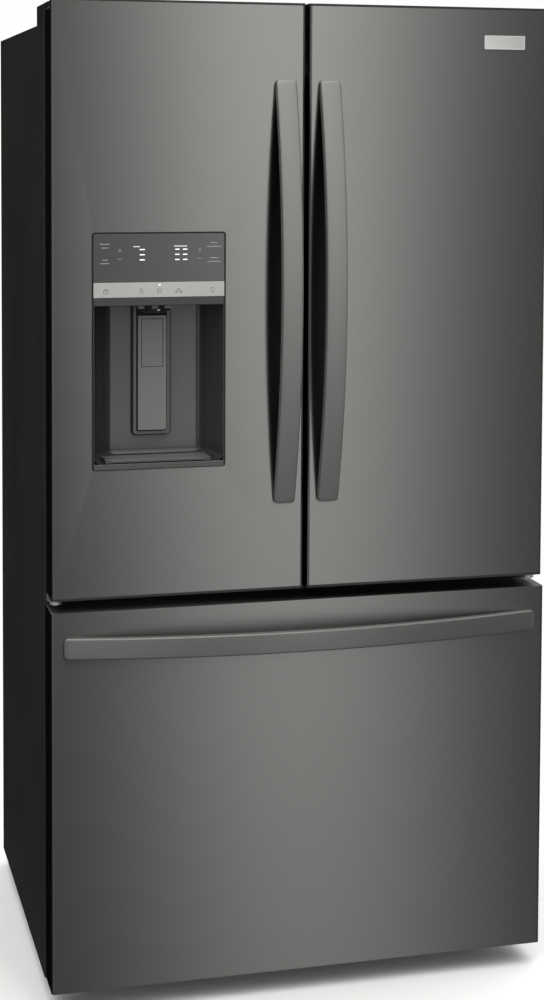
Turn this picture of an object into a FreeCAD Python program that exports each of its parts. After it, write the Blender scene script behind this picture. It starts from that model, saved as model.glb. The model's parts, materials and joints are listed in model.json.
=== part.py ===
import FreeCAD, Part
import math
import os
import Sketcher

# French door refrigerator: two doors over one freezer drawer, millimetres, +Z up, doors facing -Y.
# The origin is on the floor, in the middle of the whole outline, handles included.

os.makedirs("parts", exist_ok=True)
doc = FreeCAD.newDocument("french_door_refrigerator")
sheet = doc.addObject("Spreadsheet::Sheet", "dims")

NODES = []


# ---------------------------------------------------------------- sizes and bindings

class Size:
    """A length that knows its value and the spreadsheet expression that gives it."""

    def __init__(self, text, value):
        self.text = text
        self.value = value

    def __add__(self, other):
        other = as_size(other)
        return Size(f"({self.text} + {other.text})", self.value + other.value)

    def __radd__(self, other):
        return as_size(other) + self

    def __sub__(self, other):
        other = as_size(other)
        return Size(f"({self.text} - {other.text})", self.value - other.value)

    def __rsub__(self, other):
        return as_size(other) - self

    def __mul__(self, factor):
        return Size(f"({self.text} * {factor})", self.value * factor)

    def __rmul__(self, factor):
        return self * factor

    def __truediv__(self, divisor):
        return Size(f"({self.text} / {divisor})", self.value / divisor)

    def __neg__(self):
        return Size(f"(0 - {self.text})", -self.value)


def as_size(value):
    return value if isinstance(value, Size) else Size(f"({value})", float(value))


def cell(name, value):
    """One driving dimension: a plain number in the sheet, under its own alias."""
    cell.row += 1
    sheet.set(f"A{cell.row}", name)
    sheet.set(f"B{cell.row}", str(value))
    sheet.setAlias(f"B{cell.row}", name)
    return Size(f"dims.{name}", float(value))


cell.row = 0


def bind(obj, prop, size):
    obj.setExpression(prop, as_size(size).text)


def place(obj, x, y, z):
    for axis, size in zip("xyz", (x, y, z)):
        bind(obj, f"Placement.Base.{axis}", size)


def keep(obj, label):
    """Name a sub-part and put it on the list of files to write."""
    obj.Label = label
    NODES.append(obj)
    return obj


# ---------------------------------------------------------------- plain solids

def box(x, y, z):
    """A box from three (low, high) pairs."""
    obj = doc.addObject("Part::Box", "box")
    for prop, (low, high) in zip(("Length", "Width", "Height"), (x, y, z)):
        bind(obj, prop, as_size(high) - low)
    place(obj, x[0], y[0], z[0])
    return obj


def rod(x, y, z, radius, length, axis="z"):
    """A cylinder that starts at x, y, z and runs along an axis."""
    obj = doc.addObject("Part::Cylinder", "rod")
    turn = {
        "x": FreeCAD.Rotation(FreeCAD.Vector(0, 1, 0), 90),
        "y": FreeCAD.Rotation(FreeCAD.Vector(1, 0, 0), -90),
        "z": FreeCAD.Rotation(),
    }[axis]
    obj.Placement = FreeCAD.Placement(FreeCAD.Vector(), turn)
    bind(obj, "Radius", radius)
    bind(obj, "Height", length)
    place(obj, x, y, z)
    return obj


def fuse(parts):
    obj = doc.addObject("Part::MultiFuse", "fuse")
    obj.Shapes = parts
    return obj


def cut(base, tools):
    obj = doc.addObject("Part::Cut", "cut")
    obj.Base = base
    obj.Tool = tools[0] if len(tools) == 1 else fuse(tools)
    return obj


def group(parts):
    """Several separate solids in one sub-part."""
    obj = doc.addObject("Part::Compound", "group")
    obj.Links = parts
    return obj


# ---------------------------------------------------------------- feature bodies

def new_body(name):
    return doc.addObject("PartDesign::Body", name)


def plane(body, role):
    return next(f for f in body.Origin.OriginFeatures if f.Role == role)


def rectangle(body, x, y, z):
    """A sketch of a rectangle on the body's XY plane, lifted to height z."""
    sketch = body.newObject("Sketcher::SketchObject", "rectangle")
    sketch.AttachmentSupport = [(plane(body, "XY_Plane"), "")]
    sketch.MapMode = "FlatFace"
    wide = as_size(x[1]) - x[0]
    deep = as_size(y[1]) - y[0]
    corners = [(0, 0), (wide.value, 0), (wide.value, deep.value), (0, deep.value)]
    for i in range(4):
        start, end = corners[i], corners[(i + 1) % 4]
        sketch.addGeometry(Part.LineSegment(FreeCAD.Vector(*start, 0), FreeCAD.Vector(*end, 0)), False)
    for i in range(4):
        sketch.addConstraint(Sketcher.Constraint("Coincident", i, 2, (i + 1) % 4, 1))
    for i in (0, 2):
        sketch.addConstraint(Sketcher.Constraint("Horizontal", i))
    for i in (1, 3):
        sketch.addConstraint(Sketcher.Constraint("Vertical", i))
    sketch.addConstraint(Sketcher.Constraint("Coincident", 0, 1, -1, 1))
    across = sketch.addConstraint(Sketcher.Constraint("DistanceX", 0, 1, 0, 2, wide.value))
    along = sketch.addConstraint(Sketcher.Constraint("DistanceY", 1, 1, 1, 2, deep.value))
    bind(sketch, f"Constraints[{across}]", wide)
    bind(sketch, f"Constraints[{along}]", deep)
    for axis, size in zip("xyz", (x[0], y[0], z)):
        bind(sketch, f"AttachmentOffset.Base.{axis}", size)
    sketch.Visibility = False
    return sketch


def pad_box(body, x, y, z):
    pad = body.newObject("PartDesign::Pad", "pad")
    pad.Profile = rectangle(body, x, y, z[0])
    bind(pad, "Length", as_size(z[1]) - z[0])
    return pad


def pocket_box(body, x, y, z):
    pocket = body.newObject("PartDesign::Pocket", "pocket")
    pocket.Profile = rectangle(body, x, y, z[1])
    bind(pocket, "Length", as_size(z[1]) - z[0])
    return pocket


def profile(body, role, edges, offset):
    """A sketch of given edges on one of the body's own planes, moved along the plane's normal."""
    sketch = body.newObject("Sketcher::SketchObject", "profile")
    sketch.AttachmentSupport = [(plane(body, role), "")]
    sketch.MapMode = "FlatFace"
    bind(sketch, "AttachmentOffset.Base.z", offset)
    for edge in edges:
        sketch.addGeometry(edge, False)
    sketch.Visibility = False
    return sketch


def circle(body, x, y, z, radius):
    """A sketch of a circle about the point x, y on the body's XY plane, lifted to height z."""
    radius = as_size(radius)
    sketch = body.newObject("Sketcher::SketchObject", "circle")
    sketch.AttachmentSupport = [(plane(body, "XY_Plane"), "")]
    sketch.MapMode = "FlatFace"
    sketch.addGeometry(Part.Circle(FreeCAD.Vector(), FreeCAD.Vector(0, 0, 1), radius.value), False)
    sketch.addConstraint(Sketcher.Constraint("Coincident", 0, 3, -1, 1))
    size = sketch.addConstraint(Sketcher.Constraint("Radius", 0, radius.value))
    bind(sketch, f"Constraints[{size}]", radius)
    for axis, place_at in zip("xyz", (x, y, z)):
        bind(sketch, f"AttachmentOffset.Base.{axis}", place_at)
    sketch.Visibility = False
    return sketch


def fillet(body, radius, wanted):
    """Round the edges of the body's tip for which wanted(start, end) is true."""
    doc.recompute()
    tip = body.Tip
    names = []
    for i, edge in enumerate(tip.Shape.Edges, start=1):
        ends = [v.Point for v in edge.Vertexes]
        if len(ends) == 2 and wanted(*ends):
            names.append(f"Edge{i}")
    feature = body.newObject("PartDesign::Fillet", "fillet")
    feature.Base = (tip, names)
    bind(feature, "Radius", radius)
    return feature


def near(a, b):
    return abs(a - b) < 0.01


def upright(start, end):
    return near(start.x, end.x) and near(start.y, end.y)


def along_y(start, end):
    return near(start.x, end.x) and near(start.z, end.z)


# ---------------------------------------------------------------- driving dimensions

width = cell("width", 908)
depth = cell("depth", 797)
handle_reach = cell("handle_reach", 62)
cabinet_top = cell("cabinet_top", 1727)
cabinet_bottom = cell("cabinet_bottom", 32)
back_plane = cell("back_plane", 725)
cover_reach = cell("cover_reach", 735)
door_top = cell("door_top", 1766)
door_bottom = cell("door_bottom", 730.6)
door_gap = cell("door_gap", 7)
door_inset = cell("door_inset", 2)
door_depth = cell("door_depth", 72)
seal_depth = cell("seal_depth", 12)
seal_air = cell("seal_air", 0.4)
cap_tall = cell("cap_tall", 4)
edge_round = cell("edge_round", 5)
hinge_recess = cell("hinge_recess", 18)
recess_side = cell("recess_side", 44)
recess_front = cell("recess_front", 14)
boss_half = cell("boss_half", 10.5)
drawer_top = cell("drawer_top", 710.6)
drawer_bottom = cell("drawer_bottom", 40)
drawer_step = cell("drawer_step", 6)
skin = cell("skin", 1.2)
liner_wall = cell("liner_wall", 2)
wall = cell("wall", 50)
flange = cell("flange", 18)
fresh_floor = cell("fresh_floor", 762)
fresh_ceiling = cell("fresh_ceiling", 1682)
frozen_floor = cell("frozen_floor", 100)
frozen_ceiling = cell("frozen_ceiling", 682)
rear_wall = cell("rear_wall", 660)
machine_front = cell("machine_front", 480)
machine_top = cell("machine_top", 300)
machine_foam = cell("machine_foam", 42)
pivot_inset = cell("pivot_inset", 14)
pivot_back = cell("pivot_back", 36)
pin_radius = cell("pin_radius", 5)
running = cell("running", 0.05)
handle_wide = cell("handle_wide", 37)
door_handle_long = cell("door_handle_long", 745)
door_handle_low = cell("door_handle_low", 886)
door_handle_mid = cell("door_handle_mid", 40)
drawer_handle_long = cell("drawer_handle_long", 864)
drawer_handle_height = cell("drawer_handle_height", 650)
handle_foot = cell("handle_foot", 9)
handle_thick = cell("handle_thick", 16)
dyke_reach = cell("dyke_reach", 104)
dyke_start = cell("dyke_start", 66)
dyke_end = cell("dyke_end", 396)
bin_reach = cell("bin_reach", 190)
low_bin_reach = cell("low_bin_reach", 150)
bin_wall = cell("bin_wall", 3)
shelf_front = cell("shelf_front", 215)
crisper_front = cell("crisper_front", 262)
duct_front = cell("duct_front", 632)
glass_thick = cell("glass_thick", 5)
panel_left = cell("panel_left", 382)
panel_right = cell("panel_right", 146.5)
panel_low = cell("panel_low", 955)
panel_high = cell("panel_high", 1367)
recess_low = cell("recess_low", 966)
recess_high = cell("recess_high", 1240)
recess_deep = cell("recess_deep", 85)
strip_low = cell("strip_low", 1254.5)
glass_low = cell("glass_low", 1281)
panel_round = cell("panel_round", 5)
panel_rim = cell("panel_rim", 4)
cheek_wide = cell("cheek_wide", 50)
paddle_left = cell("paddle_left", 289)
paddle_right = cell("paddle_right", 237.5)
paddle_low = cell("paddle_low", 1013)
paddle_high = cell("paddle_high", 1216)
paddle_front = cell("paddle_front", 69)
paddle_thick = cell("paddle_thick", 6.5)
ridge_front = cell("ridge_front", 75)
ridge_wide = cell("ridge_wide", 5)
ridge_gap = cell("ridge_gap", 2.5)
mullion_wide = cell("mullion_wide", 96)
mullion_thick = cell("mullion_thick", 20)
mullion_side = cell("mullion_side", 50)
mullion_axis = cell("mullion_axis", 95)
mullion_pin = cell("mullion_pin", 3)
slide_long = cell("slide_long", 460)
slide_low = cell("slide_low", 350)
slide_tall = cell("slide_tall", 46)
roller_radius = cell("roller_radius", 15)
roller_wide = cell("roller_wide", 22)
axle_radius = cell("axle_radius", 4)
foot_radius = cell("foot_radius", 18)
fan_radius = cell("fan_radius", 62)
shaft_radius = cell("shaft_radius", 3)
inlet_radius = cell("inlet_radius", 9.5)
doc.recompute()

# Places that follow from them. Depths are counted back from the face of the doors.
half = width / 2
face = handle_reach - depth / 2
front = face + door_depth + seal_depth
inner = half - wall
SIDES = {"left": -1, "right": 1}


def at(distance):
    """The Y of a plane this far behind the face of the doors."""
    return face + distance


def across(side, near_mid, far_mid):
    """The X pair of a piece between two distances from the middle, on one side."""
    if side > 0:
        return (as_size(near_mid), as_size(far_mid))
    return (-as_size(far_mid), -as_size(near_mid))


def both(half_span):
    return (-as_size(half_span), as_size(half_span))


# ---------------------------------------------------------------- cabinet shell and insulation

def make_wrapper():
    body = new_body("wrapper")
    pad_box(body, both(half), (front, at(back_plane)), (cabinet_bottom, cabinet_top))
    pocket_box(body, both(half - skin), (front + skin, at(back_plane)),
               (cabinet_bottom, cabinet_top - skin))
    pocket_box(body, both(half - flange), (front, front + skin), (cabinet_bottom, cabinet_top - flange))
    keep(body, "cabinet_wrapper")


def make_back_panel():
    sheet_steel = box(both(half - skin), (at(back_plane) - skin, at(back_plane)),
                      (machine_top + machine_foam, cabinet_top - skin))
    stiffener_tall = cabinet_top - 300
    ribs = [box((x - 20, x + 20), (at(back_plane), at(back_plane) + 3), (machine_top + 120, stiffener_tall))
            for x in (-half / 2, as_size(0), half / 2)]
    keep(fuse([sheet_steel] + ribs), "back_panel")


def make_base_frame():
    body = new_body("base")
    tall = cabinet_bottom + 28
    pad_box(body, both(half - skin), (front + skin, at(back_plane) - 12), (cabinet_bottom, tall))
    pocket_box(body, both(half - skin - 2), (front + skin + 2, at(back_plane) - 14),
               (cabinet_bottom + 2, tall))
    keep(body, "base_frame")


def make_foam():
    side_foam = [
        box(across(side, inner, half - skin), (front + skin, at(back_plane) - skin - 0.5),
            (cabinet_bottom + 28, cabinet_top - skin))
        for side in SIDES.values()
    ]
    ceiling = box(both(inner), (front + skin, at(rear_wall)), (fresh_ceiling, cabinet_top - skin))
    divider = box(both(inner), (front + skin * 2, at(rear_wall)), (frozen_ceiling, fresh_floor))
    floor = box(both(inner), (front + skin * 2, at(machine_front)), (cabinet_bottom + 28, frozen_floor))
    back = box(both(inner), (at(rear_wall), at(back_plane) - skin),
               (machine_top, cabinet_top - skin))
    machine_wall = box(both(inner), (at(machine_front), at(machine_front) + 40),
                       (cabinet_bottom + 28, machine_top + machine_foam))
    machine_roof = box(both(inner), (at(machine_front) + 40, at(rear_wall)),
                       (machine_top, machine_top + machine_foam))
    keep(group(side_foam + [ceiling, divider, floor, back, machine_wall, machine_roof]), "foam_insulation")


def make_fresh_liner():
    body = new_body("fresh_liner")
    pad_box(body, both(inner), (front, at(rear_wall)), (fresh_floor, fresh_ceiling))
    pad_box(body, both(half - flange), (front, front + skin), (fresh_floor - 20, cabinet_top - flange))
    pocket_box(body, both(inner - liner_wall), (front, at(rear_wall) - liner_wall),
               (fresh_floor + liner_wall, fresh_ceiling - liner_wall))
    inside = inner.value - liner_wall.value

    def corner(start, end):
        return along_y(start, end) and near(abs(start.x), inside)

    fillet(body, 12, corner)
    keep(body, "fresh_food_liner")


def make_frozen_liner():
    body = new_body("frozen_liner")
    pad_box(body, both(inner), (front, at(machine_front)), (frozen_floor, frozen_ceiling))
    pad_box(body, both(inner), (front, at(rear_wall)), (machine_top + machine_foam, frozen_ceiling))
    pad_box(body, both(half - flange), (front, front + skin), (frozen_floor - 38, frozen_ceiling + 18))
    pocket_box(body, both(inner - liner_wall), (front, at(machine_front) - liner_wall),
               (frozen_floor + liner_wall, frozen_ceiling - liner_wall))
    pocket_box(body, both(inner - liner_wall), (front, at(rear_wall) - liner_wall),
               (machine_top + machine_foam + liner_wall, frozen_ceiling - liner_wall))
    keep(body, "freezer_liner")


def make_divider_trim():
    """The plate over the divider, between the two liners' flanges."""
    below, above = 18, 20
    z = (frozen_ceiling + below, fresh_floor - above)
    keep(box(both(half - flange), (front, front + skin), z), "divider_trim")


# ---------------------------------------------------------------- hinges

def make_hinges():
    """A top bracket and a middle bracket for each door, each with its pin."""
    plate, arm_half, tip_rim, pin_long = 4, 9.5, 6, 22
    seat_x, seat_y = (58, 4), (4, 78)
    web_air, arm_low, arm_high = 0.5, 8, 12
    low_web_y, low_web_z = (3.5, 0.3), (3, 17)
    washer_rim, washer_air = 4, 0.3
    parts = []
    for side in SIDES.values():
        pin_x = side * (half - pivot_inset)
        arm_x = across(side, half - pivot_inset - arm_half, half - pivot_inset + arm_half)
        top_arm = door_top - arm_high
        seat = box(across(side, half - seat_x[0], half - seat_x[1]),
                   (front + seat_y[0], front + seat_y[1]), (cabinet_top, cabinet_top + plate))
        web = box(arm_x, (front + web_air, front + web_air + plate), (cabinet_top, top_arm))
        arm = box(arm_x, (at(pivot_back), front + web_air + plate), (top_arm - plate, top_arm))
        tip = rod(pin_x, at(pivot_back), top_arm - plate, pin_radius + tip_rim, plate)
        pin = rod(pin_x, at(pivot_back), top_arm - plate - pin_long, pin_radius, as_size(pin_long))
        parts.append(fuse([seat, web, arm, tip, pin]))
        low_arm = box(arm_x, (at(pivot_back), front - web_air), (drawer_top + arm_low, drawer_top + arm_high))
        low_tip = rod(pin_x, at(pivot_back), drawer_top + arm_low, pin_radius + tip_rim, plate)
        low_web = box(arm_x, (front - low_web_y[0], front - low_web_y[1]),
                      (drawer_top + low_web_z[0], drawer_top + low_web_z[1]))
        low_pin = rod(pin_x, at(pivot_back), drawer_top + arm_high, pin_radius, as_size(pin_long))
        washer = rod(pin_x, at(pivot_back), drawer_top + arm_high, pin_radius + washer_rim,
                     door_bottom - drawer_top - arm_high - washer_air)
        parts.append(fuse([low_arm, low_tip, low_web, low_pin, washer]))
    keep(group(parts), "door_hinges")


def make_hinge_covers():
    """A moulded hood over each top bracket, with an arm that reaches over the door's pin."""
    wall, drop, arm_tall, edge_round = 3, 4, 7, 2.5
    inner_edge, outer_edge, ahead, behind = 66, 1, 5, 84
    cap_rim, arm_half = 7.5, 12
    covers = []
    for side in SIDES.values():
        pin_x = side * (half - pivot_inset)
        shell = new_body("hinge_cover")
        pad_box(shell, across(side, half - inner_edge, half - outer_edge),
                (front - ahead, front + behind), (cabinet_top, door_top - drop))
        pocket_box(shell, across(side, half - (inner_edge - wall), half - (outer_edge + wall)),
                   (front - ahead, front + behind - wall), (cabinet_top, door_top - drop - wall))
        doc.recompute()
        top = door_top.value - drop
        fillet(shell, edge_round, lambda a, b: near(a.z, top) and near(b.z, top))
        arm_z = (door_top - drop - arm_tall, door_top - drop)
        cap = rod(pin_x, at(pivot_back), arm_z[0], pin_radius + cap_rim, as_size(arm_tall))
        arm = box(across(side, half - pivot_inset - arm_half, half - pivot_inset + arm_half),
                  (at(pivot_back), front - ahead), arm_z)
        covers.append(fuse([shell, cap, arm]))
    keep(group(covers), "hinge_covers")


# ---------------------------------------------------------------- doors

def door_span(side):
    return across(side, door_gap / 2, half - door_inset)


def corner_edge(x, y):
    """Upright edges at one of these x places and this y."""
    return lambda a, b: upright(a, b) and near(a.y, y) and any(near(a.x, place_x) for place_x in x)


def panel_corner(a, b):
    """Edges running back from the four corners of the dispenser's opening."""
    beside = near(a.x, -panel_left.value) or near(a.x, -panel_right.value)
    level = near(a.z, panel_low.value) or near(a.z, panel_high.value)
    return along_y(a, b) and beside and level


def make_door_skin(name, side):
    """Pressed steel: a front with both upright edges rolled back round the foam."""
    x0, x1 = door_span(side)
    z = (door_bottom + cap_tall, door_top - cap_tall)
    body = new_body(f"{name}_skin")
    pad_box(body, (x0, x1), (face, at(door_depth) - liner_wall), z)
    pocket_box(body, (x0 + skin, x1 - skin), (face + skin, at(door_depth) - liner_wall), z)
    round_front(body, x0, x1, face)
    pocket_box(body, across(side, half - recess_side, half), (face + recess_front, at(door_depth)),
               (door_top - hinge_recess, door_top))
    if side < 0:
        pocket_box(body, (-panel_left, -panel_right), (face, face + skin), (panel_low, panel_high))
        fillet(body, panel_round, panel_corner)
    keep(body, f"{name}_skin")


def round_front(body, x0, x1, y):
    """Round a pressed skin's two front corners, outside and inside, at one thickness."""
    outside = corner_edge((x0.value, x1.value), y.value)
    inside = corner_edge(((x0 + skin).value, (x1 - skin).value), (y + skin).value)
    fillet(body, edge_round, outside)
    fillet(body, edge_round - skin, inside)


def make_door_foam(name, side):
    x0, x1 = door_span(side)
    z = (door_bottom + cap_tall, door_top - cap_tall)
    body = new_body(f"{name}_foam_core")
    pad_box(body, (x0 + skin, x1 - skin), (face + skin, at(door_depth) - liner_wall), z)
    fillet(body, edge_round - skin,
           corner_edge(((x0 + skin).value, (x1 - skin).value), (face + skin).value))
    pocket_box(body, across(side, half - recess_side - 4, half), (face, at(door_depth)),
               (door_top - hinge_recess - 8, door_top))
    pin_x = side * (half - pivot_inset)
    for low, high in ((door_bottom, door_bottom + 20), (door_top - 44, door_top)):
        pocket_box(body, (pin_x - boss_half, pin_x + boss_half),
                   (at(pivot_back) - boss_half, at(pivot_back) + boss_half), (low, high))
    pieces = [body]
    if side < 0:
        pocket_box(body, (-panel_left, -panel_right), (face, at(door_depth)), (panel_low, panel_high))
        pieces.append(box((-panel_left, -panel_right), (at(recess_deep) + 6, at(dyke_reach) + 11),
                          (panel_low, panel_high)))
    keep(group(pieces), f"{name}_foam")


def make_door_liner(name, side):
    """The moulded inner panel: a flat rim, raised columns at both sides and a low field between them."""
    x0, x1 = door_span(side)
    rim = 3
    low, high = fresh_floor + 14, fresh_ceiling - 14
    back = at(door_depth)
    column = 24
    body = new_body(f"{name}_liner")
    pad_box(body, (x0 + 1, x1 - 1), (back - liner_wall, back), (door_bottom + 12, door_top - 20))
    pad_box(body, across(side, dyke_start, dyke_end), (back - liner_wall, at(dyke_reach)), (low, high))
    tall = dyke_reach.value + face.value
    fillet(body, 8, lambda a, b: near(a.y, tall) and near(b.y, tall))
    pocket_box(body, across(side, dyke_start + column, dyke_end - column),
               (back + 12, at(dyke_reach)), (low + column, high - column))
    pocket_box(body, across(side, dyke_start + rim, dyke_end - rim), (back - liner_wall, back + 9),
               (low + rim, high - rim))
    if side < 0:
        bulge_x = (-panel_left - 4, -panel_right + 4)
        pad_box(body, bulge_x, (back + 9, at(dyke_reach) + 14), (panel_low - 24, panel_high + 24))
        pocket_box(body, (-panel_left - 1, -panel_right + 1), (back - liner_wall, at(dyke_reach) + 11),
                   (panel_low - 21, panel_high + 21))
        lug_x = (-mullion_side - 8, -mullion_side + 8)
        lug_y = (back, at(mullion_axis) + 8)
        pad_box(body, lug_x, lug_y, (high + 3, high + 9))
        pad_box(body, lug_x, lug_y, (low - 9, low - 3))
        for start in (high - 7, low - 4):
            pin = body.newObject("PartDesign::Pad", "mullion_pin")
            pin.Profile = circle(body, -mullion_side, at(mullion_axis), start, mullion_pin)
            bind(pin, "Length", 11)
    keep(body, f"{name}_liner")


def make_gasket(name, x, y, z, wide=20):
    body = new_body(f"{name}_gasket")
    pad_box(body, x, y, z)
    pocket_box(body, (x[0] + wide, x[1] - wide), y, (z[0] + wide, z[1] - wide))
    keep(body, f"{name}_gasket")


def make_end_caps(name, side):
    """Top and bottom caps of a door, with the open hinge recess and the pin bores."""
    x0, x1 = door_span(side)
    pin_x = side * (half - pivot_inset)
    boss_x = (pin_x - boss_half, pin_x + boss_half)
    boss_y = (at(pivot_back) - boss_half, at(pivot_back) + boss_half)
    back = at(door_depth) - liner_wall
    corners = corner_edge((x0.value, x1.value), face.value)
    top = new_body(f"{name}_top_cap")
    pad_box(top, (x0, x1), (face, back), (door_top - cap_tall, door_top))
    fillet(top, edge_round, corners)
    pad_box(top, across(side, half - recess_side - 4, half - door_inset - skin), (face + edge_round, back),
            (door_top - hinge_recess - 8, door_top - cap_tall))
    pad_box(top, boss_x, boss_y, (door_top - 42, door_top - hinge_recess - 8))
    pocket_box(top, across(side, half - recess_side, half), (face + recess_front, at(door_depth)),
               (door_top - hinge_recess, door_top))
    bore(top, pin_x, door_top - 40, as_size(40))
    low = new_body(f"{name}_low_cap")
    pad_box(low, (x0, x1), (face, back), (door_bottom, door_bottom + cap_tall))
    fillet(low, edge_round, corners)
    pad_box(low, boss_x, boss_y, (door_bottom + cap_tall, door_bottom + 18))
    bore(low, pin_x, door_bottom, as_size(16))
    keep(group([top, low]), f"{name}_end_caps")


def bore(body, x, z, length):
    """A blind bore for a hinge pin, cut down to height z."""
    pocket = body.newObject("PartDesign::Pocket", "bore")
    pocket.Profile = circle(body, x, at(pivot_back), z + length, pin_radius + running)
    bind(pocket, "Length", length)


def make_bins(name, side, rows):
    bins = []
    for low, tall, reach in rows:
        body = new_body(f"{name}_bin")
        x = across(side, dyke_start + 25, dyke_end - 25)
        y = (at(door_depth) + 13, at(reach))
        pad_box(body, x, y, (as_size(low), as_size(low) + tall))
        rim = reach.value + face.value
        fillet(body, 16, corner_edge((x[0].value, x[1].value), rim))
        pocket_box(body, (x[0] + bin_wall, x[1] - bin_wall), (y[0] + bin_wall, y[1] - bin_wall),
                   (as_size(low) + bin_wall, as_size(low) + tall))
        bins.append(body)
    keep(group(bins), f"{name}_bins")


def bow(length, low, foot, reach, thick):
    """Edges of a bowed bar seen from the side: along the bar, and out from its panel."""
    middle = low + length / 2
    rise = reach - foot
    radius = ((length / 2) ** 2 + rise ** 2) / (2 * rise)
    centre = radius - reach
    inner_radius = radius - thick
    inner_half = math.sqrt(inner_radius ** 2 - centre ** 2)
    outer_start = (low, -foot)
    outer_mid = (middle, -reach)
    outer_end = (low + length, -foot)
    inner_start = (middle + inner_half, 0)
    inner_mid = (middle, -(reach - thick))
    inner_end = (middle - inner_half, 0)
    return outer_start, outer_mid, outer_end, (low + length, 0), inner_start, inner_mid, inner_end, (low, 0)


def make_door_handle(name, side):
    """A bar bowed away from its door, with both feet on the door's face."""
    points = bow(door_handle_long.value, door_handle_low.value, handle_foot.value,
                 handle_reach.value, handle_thick.value)
    # Sketch x is depth and sketch y is height on this plane.
    flat = [FreeCAD.Vector(face.value + out, up, 0) for up, out in points]
    body = new_body(f"{name}_handle")
    edges = [
        Part.Arc(flat[0], flat[1], flat[2]),
        Part.LineSegment(flat[2], flat[3]),
        Part.LineSegment(flat[3], flat[4]),
        Part.Arc(flat[4], flat[5], flat[6]),
        Part.LineSegment(flat[6], flat[7]),
        Part.LineSegment(flat[7], flat[0]),
    ]
    pad = body.newObject("PartDesign::Pad", "bar")
    centre = side * door_handle_mid
    pad.Profile = profile(body, "YZ_Plane", edges, centre - handle_wide / 2)
    bind(pad, "Length", handle_wide)
    keep(body, f"{name}_handle")


def make_door(name, side, rows):
    make_door_skin(name, side)
    make_door_foam(name, side)
    make_door_liner(name, side)
    x = across(side, 12, half - pivot_inset - 2)
    y = (at(door_depth), front - seal_air)
    make_gasket(name, x, y, (door_bottom + 14, cabinet_top - 4))
    make_end_caps(name, side)
    make_door_handle(name, side)
    make_bins(name, side, rows)


# ---------------------------------------------------------------- dispenser in the left door

def make_dispenser_housing():
    """A moulded box let into the door: a recess with curved cheeks, a panel seat and a paddle surround."""
    body = new_body("dispenser_housing")
    back_wall = 6
    corner_air = 0.5
    pad_box(body, (-panel_left, -panel_right), (face, at(recess_deep) + back_wall), (panel_low, panel_high))
    fillet(body, panel_round + corner_air, panel_corner)
    left, right = (-panel_left + panel_rim).value, (-panel_right - panel_rim).value
    mouth, lip, waist, back = at(-1).value, at(5).value, at(51).value, at(recess_deep).value
    cheek = cheek_wide.value
    bulge = cheek * 0.28
    points = [
        (left, mouth), (right, mouth), (right, lip), (right - bulge, waist), (right - cheek, back),
        (left + cheek, back), (left + bulge, waist), (left, lip),
    ]
    p = [FreeCAD.Vector(x, y, 0) for x, y in points]
    edges = [
        Part.LineSegment(p[0], p[1]),
        Part.LineSegment(p[1], p[2]),
        Part.Arc(p[2], p[3], p[4]),
        Part.LineSegment(p[4], p[5]),
        Part.Arc(p[5], p[6], p[7]),
        Part.LineSegment(p[7], p[0]),
    ]
    recess = body.newObject("PartDesign::Pocket", "recess")
    recess.Profile = profile(body, "XY_Plane", edges, recess_high)
    bind(recess, "Length", recess_high - recess_low)
    seat_rim, seat_deep = 2, 8
    pocket_box(body, (-panel_left + seat_rim, -panel_right - seat_rim), (face, face + seat_deep),
               (strip_low, panel_high - seat_rim))
    board_rim, board_deep = 12, 30
    pocket_box(body, (-panel_left + board_rim, -panel_right - board_rim), (face, face + board_deep),
               (glass_low + board_rim / 2, panel_high - board_rim))
    well_left, well_right = -paddle_left - ridge_gap, -paddle_right + ridge_gap
    well_low = paddle_low - ridge_gap - 1
    well_deep = 2.5
    pad_box(body, (well_left - ridge_wide, well_right + ridge_wide), (at(ridge_front), at(recess_deep)),
            (well_low - ridge_wide, recess_high))
    pocket_box(body, (well_left, well_right), (at(ridge_front), at(recess_deep) + well_deep),
               (well_low, recess_high))
    keep(body, "dispenser_housing")


def make_dispenser_front():
    """The control glass with the silver strip, the header lip and the sill below it."""
    glass_rim, lip_rim = 2.5, 3
    x = (-panel_left + glass_rim, -panel_right - glass_rim)
    glass_proud, glass_back = 0.5, 5
    glass = new_body("control_glass")
    pad_box(glass, x, (face - glass_proud, face + glass_back), (glass_low, panel_high - glass_rim))
    top = (panel_high - glass_rim).value
    glass_round = 4
    fillet(glass, glass_round, lambda a, b: along_y(a, b) and near(a.z, top))
    keep(glass, "control_panel")
    strip_proud, strip_back, joint = 1, 6, 0.4
    strip = box(x, (face - strip_proud, face + strip_back), (strip_low, glass_low - joint))
    lip_x = (-panel_left + lip_rim, -panel_right - lip_rim)
    lip_proud, sill_proud = 2, 3
    lip = box(lip_x, (face - lip_proud, face), (recess_high + joint, strip_low - joint))
    sill = box(lip_x, (face - sill_proud, face), (panel_low + 1, recess_low))
    keep(group([strip, lip, sill]), "dispenser_trim")


def make_nozzle():
    """The ice chute and the water tube that end in the recess's ceiling."""
    middle = -(panel_left + panel_right) / 2
    chute_deep, chute_mouth, chute_root = 18, 27, 31
    throat_radius, throat_deep = 23, 16
    chute_y, tube_y = at(42), at(16)
    chute = doc.addObject("Part::Cone", "chute")
    bind(chute, "Radius1", as_size(chute_mouth))
    bind(chute, "Radius2", as_size(chute_root))
    bind(chute, "Height", as_size(chute_deep))
    place(chute, middle, chute_y, recess_high - chute_deep)
    throat = rod(middle, chute_y, recess_high - chute_deep - 1, as_size(throat_radius),
                 as_size(throat_deep))
    tube_long, tube_radius, bore_radius, bore_deep = 14, 4, 2.6, 10
    tube = rod(middle, tube_y, recess_high - tube_long, as_size(tube_radius), as_size(tube_long))
    tube_bore = rod(middle, tube_y, recess_high - tube_long - 1, as_size(bore_radius), as_size(bore_deep))
    keep(group([cut(chute, [throat]), cut(tube, [tube_bore])]), "dispenser_nozzle")


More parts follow.
